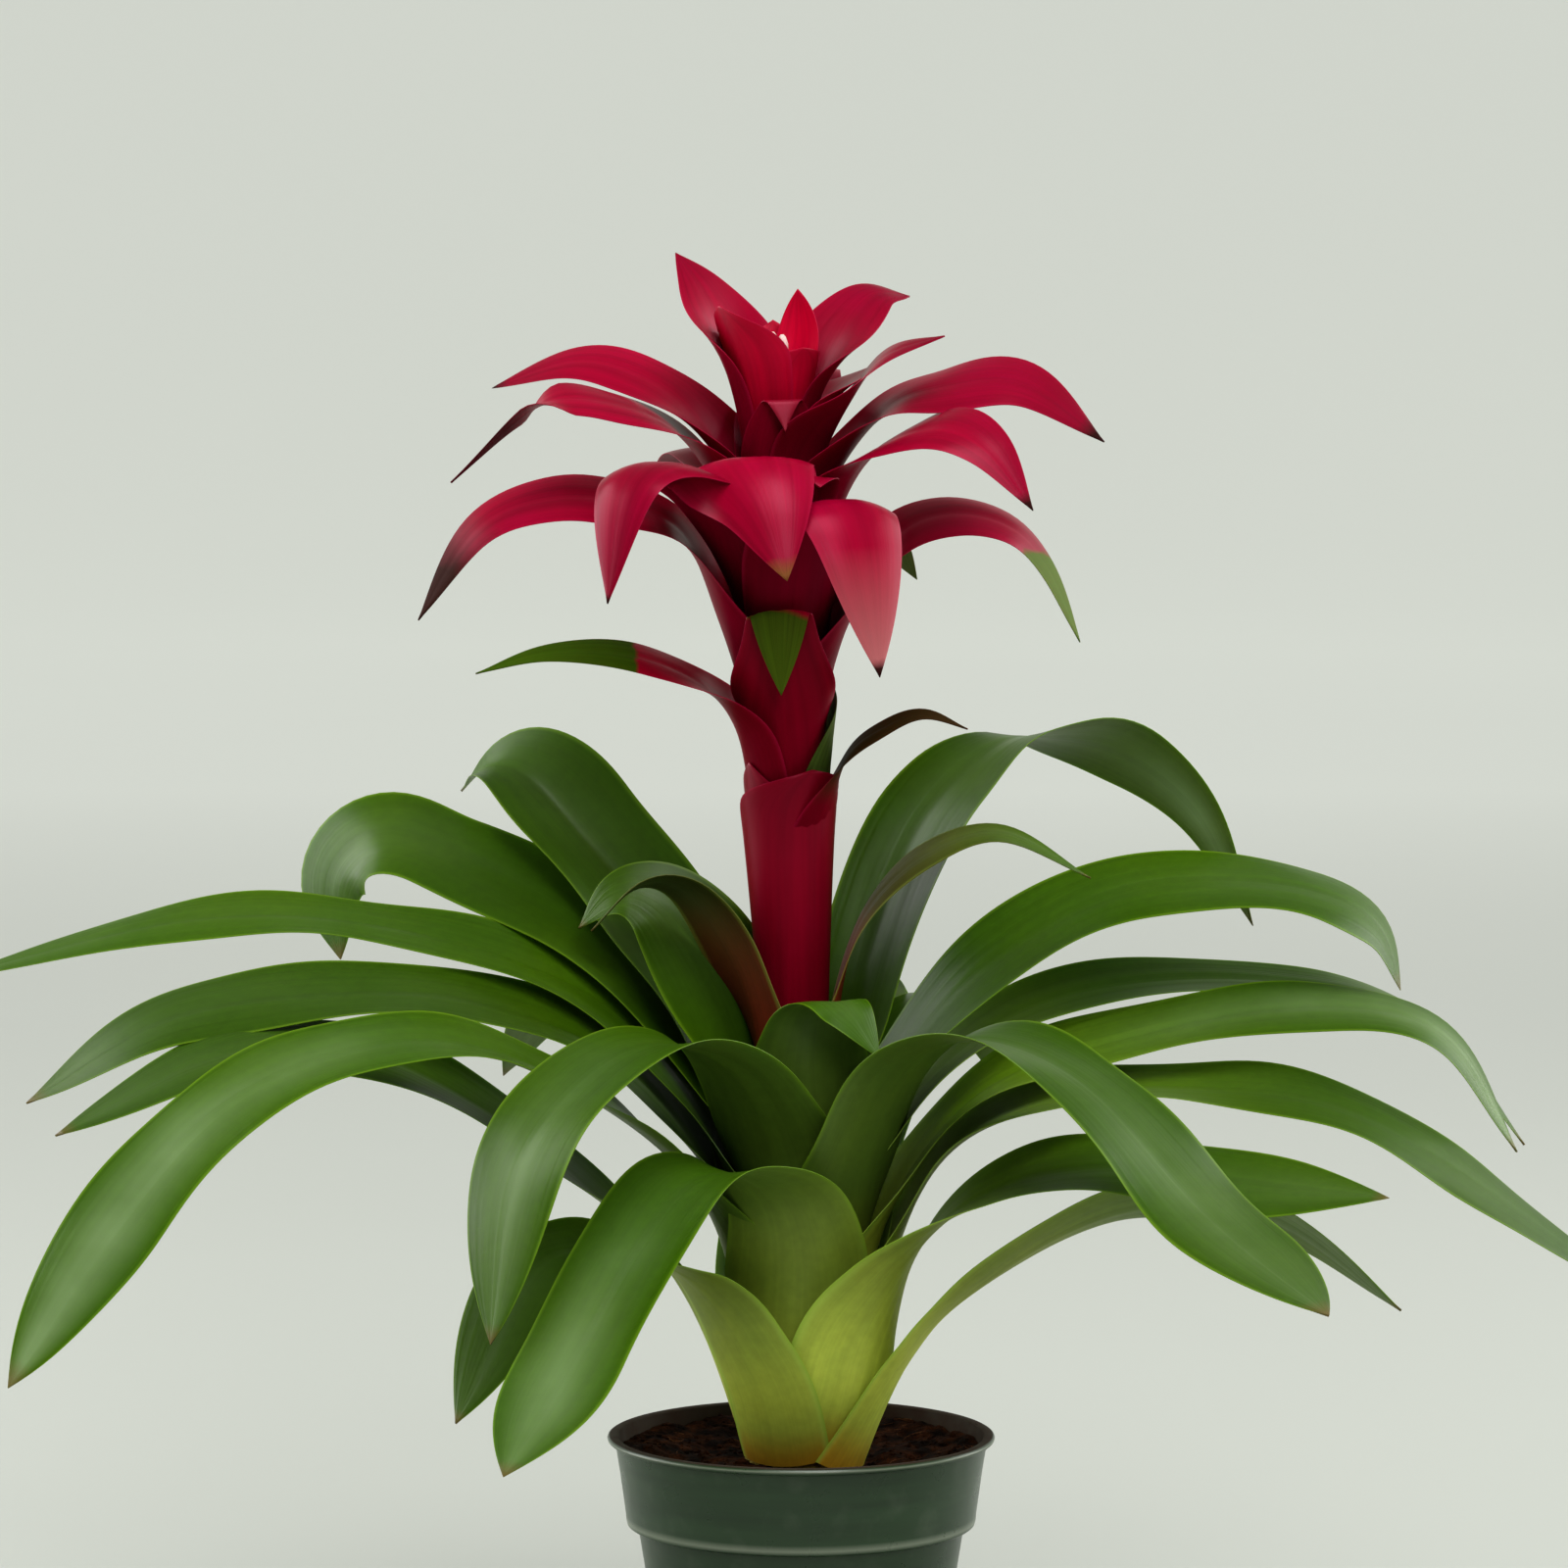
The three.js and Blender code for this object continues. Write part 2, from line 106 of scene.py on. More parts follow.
# From the lowest leaf up: its azimuth, half of its width, the degrees that the whole blade
# rolls to one side, its path and what else sets its form apart.
ROSETTE = [
    (-12, 20, -28, [(36, 27, -18), (45, 44, -8), (61, 63), (102, 92), (140, 105), (188, 101),
     (236, 67)], {"sheath": 14, "tip": 0.7, "turn": -37, "ripen": 190}),
    (217, 20, -20, [(37, 30, 33), (44, 50, 23), (50, 67, 12), (61, 80, 4), (84, 91), (106, 94),
     (131, 86), (164, 32)], {"sheath": 19, "turn": 36}),
    (-22, 24, 22, [(35, 30, -40), (39, 50, -34), (43, 67, -22), (50, 84, -11), (62, 99, -4),
     (80, 111), (104, 119), (140, 123), (186, 119), (240, 117)], {"sheath": 27, "turn": -42,
     "ripen": 190}),
    (194, 20, -22, [(37, 48), (52, 76), (70, 97), (120, 138), (175, 167), (230, 167),
     (293, 138)], {"tip": 0.75}),
    (100, 22, 0, [(38, 63), (66, 118), (110, 145), (165, 138), (220, 88)], {}),
    # leaf_06, leaf_10 and leaf_15: a long ripen keeps the real pale foot pale further out, which
    # also stands in for light on these feet: painted light
    (-6, 20, 16, [(35, 76), (55, 121), (93, 143), (150, 149), (222, 138), (321, 73)],
     {"tip": 0.8, "ripen": 270}),
    (240, 24, 0, [(30, 54, 24), (35, 84, 26), (43, 107, 20), (62, 121, 9), (90, 122, 1),
     (128, 101), (172, 66), (219, 29)], {"tip": 0.8, "turn": 25, "bloom": 1}),
    (208, 19, -18, [(29.5, 81), (50, 116), (84, 144), (134, 170), (186, 175), (246, 156),
     (294, 110), (333, 56)], {"tip": 0.82, "blunt": 2.6, "twist": (0.5, 0.85, -20), "ripen": 90,
     "bloom": 1.3}),
    (60, 22, 0, [(36, 93), (66, 145), (110, 168), (150, 161), (175, 123)], {}),
    # Long ripen: a real pale foot, drawn out as painted light, as for leaf_06
    (2, 19, 22, [(34, 98), (70, 145), (124, 165), (195, 178), (250, 168), (281, 120)],
     {"ripen": 260, "bloom": 1.2}),
    (186, 22, -22, [(33.5, 108), (70, 157), (115, 179), (165, 187), (243, 179), (301, 145)],
     {"tip": 0.78}),
    (125, 22, 0, [(28.5, 105), (61, 163), (115, 181), (165, 173), (215, 128)], {}),
    (-43, 27, 0, [(26, 92), (41, 139), (65, 167), (102, 174), (150, 160), (205, 120), (264, 87)],
     {"tip": 0.86, "blunt": 2.6, "bloom": 0.6}),
    (172, 18, -22, [(26, 106), (49, 151), (88, 185), (160, 207), (240, 210), (345, 183)],
     {"tip": 0.6}),
    # Long ripen: a real pale foot, drawn out as painted light, as for leaf_06
    (15, 18, 16, [(28, 114), (68, 162), (120, 182), (192, 183), (258, 166), (301, 113)],
     {"ripen": 200}),
    (80, 22, 0, [(25, 118), (60, 163), (100, 177), (150, 161), (195, 113)], {}),
    (231, 24, 0, [(25, 118, 14), (48, 157, 8), (85, 173), (130, 165), (170, 133), (184, 70)],
     {"tip": 0.75, "turn": 15, "bloom": 0.6}),
    (8, 23, 24, [(22, 116), (46, 163), (80, 198), (130, 223), (190, 224), (228, 209),
     (239, 181)], {"tip": 0.84, "ripen": 70}),
    (155, 25, -24, [(20.5, 113), (43, 160), (88, 201), (138, 226), (183, 239), (208, 221),
     (204, 187)], {"tip": 0.8, "twist": (0.72, 0.95, -55)}),
    (20, 25, 22, [(17.8, 128), (27, 190), (49, 247), (82, 279), (108, 281), (135, 275),
     (168, 249), (192, 203)], {"twist": (0.55, 0.78, -66), "tip": 0.5, "blunt": 1.8,
     "bloom": 1.2}),
    (142, 25, -30, [(16.2, 86), (18.6, 119), (43, 167), (76, 207), (112, 240), (140, 262),
     (160, 264), (174, 253)], {"keel": 0.3, "tip": 0.74, "reflex": 25}),
    (172, 28, -52, [(13.8, 106), (17.5, 138), (27, 172), (40, 200), (56, 219), (73, 222),
     (88, 208)], {"clasp": 64, "tip": 0.55, "blunt": 1.7, "reflex": 14}),
    (-76, 22, 0, [(17.4, 127), (23, 164, -4), (30, 181, 0), (41, 184, 10), (54, 164, 20)],
     {"tip": 0.5, "reflex": -30}),
]

SHEATHING = {"clasp": 200, "sheath": 36, "wrap": 2.6}  # rolled round the stem

CROWN_RADIUS = 25  # where the lowest leaf joins the short stem
NECK_RADIUS = 11.5  # where the highest leaf joins it
NECK_HEIGHT = 80  # above the soil, where the spike starts to lean
SPIKE_LEAN = 0.03  # radians, towards -X
SPIKE_TOP = 400


def upright(height, rise, flare=11):
    """The path of a bract that lies close along the flower stem."""
    return [(NECK_RADIUS + flare * out, height + rise * up)
            for out, up in ((0, 0), (0.32, 0.4), (0.64, 0.75), (1, 1))]


# The same for the spike's blades, with the node's name first.
SPIKE_BLADES = [
    ("scape_leaf_left", 200, 20, 20, [(11.5, 84), (12.6, 140), (16, 178), (26, 206), (43, 228),
     (62, 231), (82, 214)], {"sheath": 32, "ripen": 220}),
    ("scape_leaf_right", -15, 11, 30, [(11.5, 96), (15, 150), (20, 190), (31, 217), (54, 238),
     (85, 247), (120, 229)], {"sheath": 30, "ripen": 220}),
    ("scape_bract_1", -60, 40, 0, upright(145, 128, 9), {**SHEATHING, "tip": 0.8,
     "blunt": 3, "wave": 0.2}),
    ("scape_bract_2", 120, 30, 0, upright(163, 95, 7), SHEATHING),
    ("scape_bract_3", 215, 30, 0, upright(181, 95, 6), SHEATHING),
    ("scape_bract_4", -15, 9, 42, [(11.5, 201), (17, 250), (24, 276), (40, 288), (56, 293),
     (73, 287)], {"tip": 0.3, "wave": 3}),
    ("scape_bract_5", 45, 30, 0, upright(218, 90), SHEATHING),
    ("scape_bract_6", 188, 18, -38, [(11.5, 233), (15, 268), (20, 291), (33, 307), (60, 319),
     (92, 321), (120, 314)], {"blunt": 1.1, "tip": 0.4}),
    ("scape_bract_7", -92, 14, 0, [(11.5, 245), (14, 275), (18, 308), (22, 332), (26, 336),
     (29, 323), (30, 303)], {**SHEATHING, "clasp": 70, "tip": 0.66, "blunt": 1.5,
     "reflex": -30}),
    ("flower_bract_01", 12, 17, 30, [(12, 268), (16, 298), (27, 333), (46, 361), (68, 369),
     (92, 363), (107, 346), (119, 316)], {"sheath": 31, "wrap": 1.95, "tip": 0.6}),
    ("flower_bract_02", 185, 18, -32, [(12, 275), (16.5, 303), (25, 333), (37, 365), (60, 378),
     (88, 381), (117, 370), (141, 335)], {"tip": 0.55, "sheath": 31, "wrap": 1.95}),
    ("flower_bract_03", 95, 19, 0, [(12, 283), (18.5, 318), (34, 353), (65, 368), (95, 353),
     (110, 318)], {}),
    ("flower_bract_04", -62, 26, 0, [(12, 290), (19, 333), (32, 367), (52, 379), (68, 363),
     (78, 312)], {"reflex": -34}),
    ("flower_bract_05", 232, 23, 0, [(12, 298), (18.5, 339), (38, 378), (66, 395), (94, 388),
     (106, 344)], {"reflex": -34, "wrap": 1.9}),
    ("flower_bract_06", 50, 19, 0, [(12, 304), (20, 335), (35, 358), (60, 360), (84, 340)],
     {"tip": 0.4}),
    ("flower_bract_07", -88, 34, 0, [(12, 311), (18, 350, -12), (29, 385, -20), (48, 396, -17),
     (65, 380, -6), (76, 350)], {"reflex": -60, "channel": 10}),
    ("flower_bract_08", -32, 20, 34, [(12, 318), (19, 358), (37, 391), (71, 405), (94, 398),
     (114, 373)], {}),
    ("flower_bract_09", 125, 19, 0, [(12, 325), (19, 363), (35, 390), (60, 395), (90, 375)], {}),
    ("flower_bract_10", 196, 20, -34, [(12, 332), (18, 368), (38, 403), (66, 417), (95, 417),
     (130, 389)], {"tip": 0.4, "blunt": 1.5, "twist": (0.68, 0.8, 55)}),
    ("flower_bract_11", -6, 22, 38, [(12, 339), (19, 378), (42, 410), (65, 419), (96, 420),
     (127, 396)], {}),
    ("flower_bract_12", 163, 18, -38, [(12, 346), (18, 383), (36, 413), (59, 428), (83, 432),
     (116, 422)], {}),
    ("flower_bract_13", 75, 16, 0, [(12, 353), (18.5, 393), (33, 416), (60, 425), (85, 408)],
     {}),
    ("flower_bract_14", -20, 15, 26, [(11.7, 360), (18, 393), (32, 417), (46, 432), (70, 439)],
     {}),
    ("flower_bract_15", 20, 13, 0, [(11.5, 367), (16, 400), (26, 418), (46, 429)], {}),
    ("flower_bract_16", -82, 9, 0, [(11.3, 362), (15, 392), (19, 412), (22.5, 416), (25.5, 404)],
     {"tip": 0.3, "blunt": 1.3, "reflex": -30}),
    ("flower_bract_17", 30, 21, 24, [(11, 374), (14.6, 408), (27, 436), (44, 454), (62, 453)],
     {"blunt": 2.6}),
    ("flower_bract_18", 150, 21, -16, [(10.5, 379), (15, 413), (22, 441), (32, 460), (43, 473)],
     {"blunt": 2.2}),
    ("cup_bract_left", 212, 20, 0, [(10, 385), (14, 413), (19, 435), (24, 453)], {"clasp": 200,
     "tip": 0.6, "blunt": 2.2}),
    ("cup_bract_right", -50, 20, 0, [(9.5, 390), (13, 412), (16, 427), (18, 436)], {"clasp": 200,
     "tip": 0.7, "blunt": 2.8}),
    ("cup_bract_back", 90, 14, 0, [(9, 395), (12, 418), (15, 435), (17, 446)], {"clasp": 200}),
    ("inner_bract", 40, 9, 35, [(7, 403), (11, 428), (13.5, 442), (13, 458)], {"clasp": 200,
     "sheath": 10, "tip": 0.5, "blunt": 2.4}),
]

CURVE_STEPS = 48  # points between two knots of a path
LINE_POINTS = 241  # evenly spaced points along a blade's middle
LINE_SMOOTHINGS = 30
LEAST_BEND = 1e-4  # radians per millimetre, so that nothing is divided by zero
WELD = 0.00002  # points of a blade's tip that are closer become one
LEAF_SEED, SPIKE_SEED, CRUMB_SEED, FIBRE_SEED = 100, 300, 11, 23

COLLAR_DROP = 34  # mm, from the lip's top to the pot's collar
DRAINS, DRAIN_RADIUS, DRAIN_RING = 8, 0.005, 0.032  # holes in the pot's floor
SOIL_RIM = 0.0706  # radius of the soil's surface
SOIL_TAPER = ((0.0668, 0.0955), (0.0622, 0.0925), (0.0480, SOIL_BOTTOM))
SOIL_LUMPS = ((0.0026, 55, 0.3), (0.0012, 130, 4.1), (0.0007, 330, 8.7))
CAMERA_PLACE, CAMERA_AIM = (-0.0067, -2.8, 0.646), (-0.0067, 0, 0.383)
LIGHTS_AIM = (0, 0, 0.35)


def smoothstep(value, low, high):
    """0 below low, 1 above high and a soft step between."""
    t = np.clip((value - low) / (high - low), 0, 1)
    return t * t * (3 - 2 * t)


def polar(radius, angle):
    """The x and y of a place, from its radius and its angle in radians."""
    return radius * math.cos(angle), radius * math.sin(angle)


def blade_line(blade):
    """Evenly spaced points along the blade's middle, in millimetres, and its length."""
    knots = []
    for radius, height, *turn in blade["path"]:
        angle = math.radians(blade["azimuth"] + (turn[0] if turn else 0))
        knots.append((*polar(radius, angle), height))
    p = np.array(knots)
    p = np.vstack([2 * p[0] - p[1], p, 2 * p[-1] - p[-2]])
    t = np.linspace(0, 1, CURVE_STEPS, endpoint=False)[:, None]
    runs = [
        0.5 * (2 * b + (c - a) * t + (2 * a - 5 * b + 4 * c - d) * t**2
               + (3 * b - a - 3 * c + d) * t**3)
        for a, b, c, d in zip(p, p[1:], p[2:], p[3:])
    ]
    line = np.vstack([*runs, p[-2:-1]])
    reach = np.concatenate([[0], np.cumsum(np.linalg.norm(np.diff(line, axis=0), axis=1))])
    even = np.linspace(0, reach[-1], LINE_POINTS)
    line = np.stack([np.interp(even, reach, line[:, k]) for k in range(3)], axis=1)
    for _ in range(LINE_SMOOTHINGS):
        line[1:-1] = (line[:-2] + 2 * line[1:-1] + line[2:]) / 4
    return line, reach[-1]


def blade_points(blade, share, across, rng):
    """Where a point at that share of the length and place across the width lies, in mm."""
    line, length = blade_line(blade)
    steps = np.linspace(0, 1, len(line))
    slopes = np.gradient(line, axis=0)
    slopes /= np.linalg.norm(slopes, axis=1)[:, None]
    centre = np.stack([np.interp(share, steps, line[:, k]) for k in range(3)], axis=1)
    along = np.stack([np.interp(share, steps, slopes[:, k]) for k in range(3)], axis=1)
    along /= np.linalg.norm(along, axis=1)[:, None]

    clasp = blade["clasp"] / length
    opened = smoothstep(share, clasp * 0.5, clasp * 1.5)
    reach = np.hypot(centre[:, 0], centre[:, 1])
    clasping = np.maximum(along[:, 2], 0.02) / reach
    channel = blade["channel"] + (blade["reflex"] - blade["channel"]) * smoothstep(
        share, *blade["turns_over"])
    bend = clasping + (np.radians(channel) / blade["half"] - clasping) * opened
    bend = np.where(np.abs(bend) < LEAST_BEND, LEAST_BEND, bend)
    full = blade["sheath"] + (blade["half"] - blade["sheath"]) * smoothstep(
        share, clasp * 0.3, clasp * 1.3)
    full = full * (1 + 0.03 * np.sin(length * share / rng.uniform(14, 22) + rng.uniform(0, 6)))
    point = np.clip((share - blade["tip"]) / (1 - blade["tip"]), 0, 1)
    limit = blade["wrap"] / np.abs(bend)
    half = (full**-5 + limit**-5) ** -0.2 * (1 - point ** blade["blunt"])

    roll = math.radians(blade["roll"]) * smoothstep(share, clasp * 0.4, min(1, clasp * 2.2))
    roll = roll + opened * blade["wave"] * 0.05 * np.sin(
        length * share / rng.uniform(24, 34) + rng.uniform(0, 6))
    if blade["twist"]:
        start, end, degrees = blade["twist"]
        roll = roll + math.radians(degrees) * smoothstep(share, start, end)

    side = np.stack([-centre[:, 1], centre[:, 0], np.zeros(len(centre))], axis=1)
    side -= along * (side * along).sum(axis=1)[:, None]
    side /= np.linalg.norm(side, axis=1)[:, None]
    up = np.cross(along, side)
    turn, lean = np.cos(roll)[:, None], np.sin(roll)[:, None]
    side, up = side * turn + up * lean, up * turn - side * lean

    angle = across * half * bend
    out = np.sin(angle) / bend
    lift = (1 - np.cos(angle)) / bend
    lift += blade["keel"] * opened * (np.hypot(across * half, 3) - 3)
    lift -= 0.5 * opened * np.exp(-((across / 0.16) ** 2)) * (1 - point)
    sway = blade["wave"] * opened * (1 - point) * across**2
    phase = np.where(across > 0, rng.uniform(0, 6), rng.uniform(0, 6))
    lift += 1.1 * sway * np.sin(length * share / rng.uniform(11, 17) + phase)
    return centre + side * out[:, None] + up * lift[:, None], length


# ---- Small tools ----
def deselect():
    if bpy.context.mode != "OBJECT":
        bpy.ops.object.mode_set(mode="OBJECT")
    bpy.ops.object.select_all(action="DESELECT")


def take(piece):
    """Makes the piece the one that is selected and active."""
    deselect()
    piece.select_set(True)
    bpy.context.view_layer.objects.active = piece


@contextmanager
def editing(piece):
    """Edit mode, with the whole of the piece selected."""
    take(piece)
    bpy.ops.object.mode_set(mode="EDIT")
    bpy.ops.mesh.select_all(action="SELECT")
    yield
    bpy.ops.object.mode_set(mode="OBJECT")


def face_outwards():
    bpy.ops.mesh.select_all(action="SELECT")
    bpy.ops.mesh.normals_make_consistent(inside=False)


def join(pieces):
    """Joins the pieces into the first of them."""
    take(pieces[0])
    for piece in pieces:
        piece.select_set(True)
    bpy.ops.object.join()


def finish_modifier(piece, kind, **settings):
    """Adds a modifier, sets it and applies it."""
    take(piece)
    bpy.ops.object.modifier_add(type=kind)
    modifier = piece.modifiers[-1]
    for key, value in settings.items():
        setattr(modifier, key, value)
    bpy.ops.object.modifier_apply(modifier=modifier.name)


def smooth(piece, degrees):
    take(piece)
    bpy.ops.object.shade_smooth_by_angle(angle=math.radians(degrees))


def renamed(name):
    """The object that an operator has just made, with that name."""
    piece = bpy.context.active_object
    piece.name = piece.data.name = name
    return piece


def new_piece(name, primitive, **settings):
    """A piece at the origin, made by one of the operators that add a primitive."""
    deselect()
    primitive(location=(0, 0, 0), **settings)
    return renamed(name)


def settle(piece, materials, slot, *nodes):
    """Gives the piece its materials and its place on the part."""
    piece.data.materials.clear()
    for material in materials:
        piece.data.materials.append(material)
    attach(piece, "root")
    if nodes:
        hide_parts(*nodes)


def set_points(piece, points):
    piece.data.vertices.foreach_set("co", np.asarray(points, np.float32).ravel())
    piece.data.update()


def get_points(piece):
    points = np.empty(len(piece.data.vertices) * 3, np.float32)
    piece.data.vertices.foreach_get("co", points)
    return points.reshape(-1, 3).astype(float)


def set_attributes(piece, **attributes):
    for name, values in attributes.items():
        layer = piece.data.attributes.new(name, "FLOAT", "POINT")
        layer.data.foreach_set("value", np.asarray(values, np.float32))


def turned(name, profile, segments):
    """A closed piece of revolution. The profile is a list of (radius, height) in mm, from
    the middle of the underside, round the outside, to the middle of the top."""
    profile = [(radius * MM, height * MM) for radius, height in profile]
    radius, height = profile[1]
    piece = new_piece(name, bpy.ops.mesh.primitive_circle_add, vertices=segments,
                      radius=radius, fill_type="TRIFAN")
    piece.data.transform(Matrix.Translation((0, 0, height)))
    with editing(piece):
        bpy.ops.mesh.flip_normals()
        bpy.ops.mesh.region_to_loop()
        for next_radius, next_height in profile[2:-1]:
            bpy.ops.mesh.extrude_region_move(
                TRANSFORM_OT_translate={"value": (0, 0, next_height - height)})
            if next_radius != radius:
                share = next_radius / radius
                bpy.ops.transform.resize(
                    value=(share, share, 1), center_override=(0, 0, next_height))
            radius, height = next_radius, next_height
        bpy.ops.mesh.edge_face_add()
        bpy.ops.mesh.poke()
        face_outwards()
    return piece


def new_disc(name, cells):
    """A grid that is to become a disc: the piece, and its points on a disc of radius 1."""
    piece = new_piece(name, bpy.ops.mesh.primitive_grid_add, size=2, x_subdivisions=cells,
                      y_subdivisions=cells)
    x, y = get_points(piece)[:, :2].T
    return piece, np.stack([x * np.sqrt(1 - y * y / 2), y * np.sqrt(1 - x * x / 2)], axis=1)


# ---- Shader tools ----
def wire(tree, node, inputs):
    """Gives the node's inputs what they take: a socket to link or a value to set."""
    for key, value in inputs.items():
        if isinstance(value, bpy.types.NodeSocket):
            tree.links.new(value, node.inputs[key])
        else:
            node.inputs[key].default_value = value


def put(tree, kind, output, inputs=None, **settings):
    """Adds a node, and gives its output of that name or number."""
    node = tree.nodes.new(f"ShaderNode{kind}")
    for key, value in settings.items():
        setattr(node, key, value)
    wire(tree, node, inputs or {})
    return node.outputs[output]


def mixed(tree, factor, a, b, blend="MIX"):
    """One colour mixed with another."""
    a, b = [c if isinstance(c, bpy.types.NodeSocket) or len(c) == 4 else (*c, 1)
            for c in (a, b)]
    return put(tree, "Mix", 2, {0: factor, 6: a, 7: b}, data_type="RGBA", blend_type=blend)


def spread(tree, value, low, high, to_low=0.0, to_high=1.0):
    """A value moved from one range to another, and held within it."""
    return put(tree, "MapRange", "Result", {
        "Value": value, "From Min": low, "From Max": high, "To Min": to_low, "To Max": to_high})


def varied(tree, colour, value, darker, lighter):
    """The colour, made darker or lighter by a noise."""
    return mixed(tree, 1.0, colour, spread(tree, value, 0.3, 0.7, darker, lighter), "MULTIPLY")


def attribute(tree, name):
    return put(tree, "Attribute", "Fac", attribute_name=name)


def folded(tree, operation, first, *others):
    """The sum, product or maximum of the values."""
    for other in others:
        first = put(tree, "Math", 0, {0: first, 1: other}, operation=operation)
    return first


def object_place(tree):
    return put(tree, "TexCoord", "Object")


def blade_place(tree):
    """The blade's own map: X runs across its width and Y from its foot to its tip."""
    return put(tree, "UVMap", "UV", uv_map="UVMap")


def axis_of(tree, place, axis):
    return put(tree, "SeparateXYZ", axis, {0: place})


def drawn_out(tree, place, scale, detail, **more):
    """Noise with its own scale on each axis."""
    place = put(tree, "Mapping", "Vector", {"Vector": place, "Scale": scale})
    settings = {"noise_dimensions": "4D"} if more else {}
    return put(tree, "TexNoise", "Fac", {
        "Vector": place, "Scale": 1.0, "Detail": detail, **more}, **settings)


def veins(tree, count, length):
    """Noise drawn out along the blade, so that it reads as parallel veins."""
    own = folded(tree, "MULTIPLY", attribute(tree, "tone"), 9.0)
    return drawn_out(tree, blade_place(tree), (count, length, 1), 2.0, W=own)


def cloud(tree, scale, detail=3.0):
    """Soft noise fixed to the piece, with its scale in patches per metre."""
    return put(tree, "TexNoise", "Fac", {
        "Vector": object_place(tree), "Scale": scale, "Detail": detail})


def ramped(tree, value, stops):
    """A colour ramp with stops of (place, colour)."""
    colour = put(tree, "ValToRGB", "Color", {"Fac": value})
    ramp = colour.node.color_ramp
    ramp.interpolation = "EASE"
    while len(ramp.elements) < len(stops):
        ramp.elements.new(0.5)
    for element, (place, shade) in zip(ramp.elements, stops):
        element.position = place
        element.color = (*shade, 1)
    return colour


def bumped(tree, height, strength, distance):
    return put(tree, "Bump", "Normal", {
        "Height": height, "Strength": strength, "Distance": distance})


def shaded(tree, colour, patches, tint):
    """The colour with tinted patches, a little lighter or darker from blade to blade."""
    tinted = mixed(tree, 1.0, colour, tint, "MULTIPLY")
    tone = spread(tree, attribute(tree, "tone"), -1, 1, 0.84, 1.14)
    return mixed(tree, 1.0, mixed(tree, patches, colour, tinted), tone, "MULTIPLY")


# ---- Surfaces ----
# Each gives the inputs of a Principled shader.
def leaf_surface(tree, stops, edge, gloss):
    """A waxy strap leaf: pale at the foot, green outwards, with fine parallel veins."""
    ripe, margin = attribute(tree, "ripe"), attribute(tree, "edge")
    share = axis_of(tree, blade_place(tree), "Y")
    fine = veins(tree, 46, 1.6)
    broad = veins(tree, 11, 1.1)
    colour = ramped(tree, ripe, stops)
    colour = varied(tree, colour, fine, 0.95, 1.04)
    colour = varied(tree, colour, broad, 0.91, 1.08)
    colour = varied(tree, colour, cloud(tree, 260), 0.94, 1.06)
    patches = spread(tree, cloud(tree, 14), 0.42, 0.7, 0, 0.35)
    colour = shaded(tree, colour, patches, (1.7, 1.35, 0.9))
    # Pale grey-green on the outer half: partly waxy bloom, partly a painted sheen of the bright
    # surroundings at grazing angles
    bloom = folded(tree, "MULTIPLY", spread(tree, share, 0.42, 0.85),
                   spread(tree, margin, 0.15, 0.9, 1, 0),
                   spread(tree, cloud(tree, 16), 0.35, 0.65, 0.25, 0.6),
                   attribute(tree, "bloom"))
    colour = mixed(tree, bloom, colour, (0.27, 0.38, 0.18))
    rim = folded(tree, "MULTIPLY", spread(tree, margin, 0.84, 0.98),
                 spread(tree, ripe, 0.2, 0.9, 0.7, 0.0))
    colour = mixed(tree, rim, colour, (0.42, 0.58, 0.10))
    colour = mixed(tree, spread(tree, margin, 0.93, 0.99, 0, 0.4), colour, edge)
    end = folded(tree, "ADD", share, spread(tree, fine, 0, 1, -0.01, 0.01))
    dry_tip = (0.16, 0.10, 0.03)
    return {
        "Base Color": mixed(tree, spread(tree, end, 0.975, 1.0, 0, 0.9), colour, dry_tip),
        "Roughness": folded(tree, "ADD", spread(tree, ripe, 0.4, 1.6, 0.16, 0.0),
                            spread(tree, fine, 0.3, 0.7, gloss - 0.03, gloss + 0.04)),
        "Specular IOR Level": 0.3,
        "Subsurface Weight": 0.06,
        "Subsurface Radius": (0.3, 0.6, 0.1),
        "Subsurface Scale": 0.004,
        "Normal": bumped(tree, broad, 0.3, 0.0008),
    }


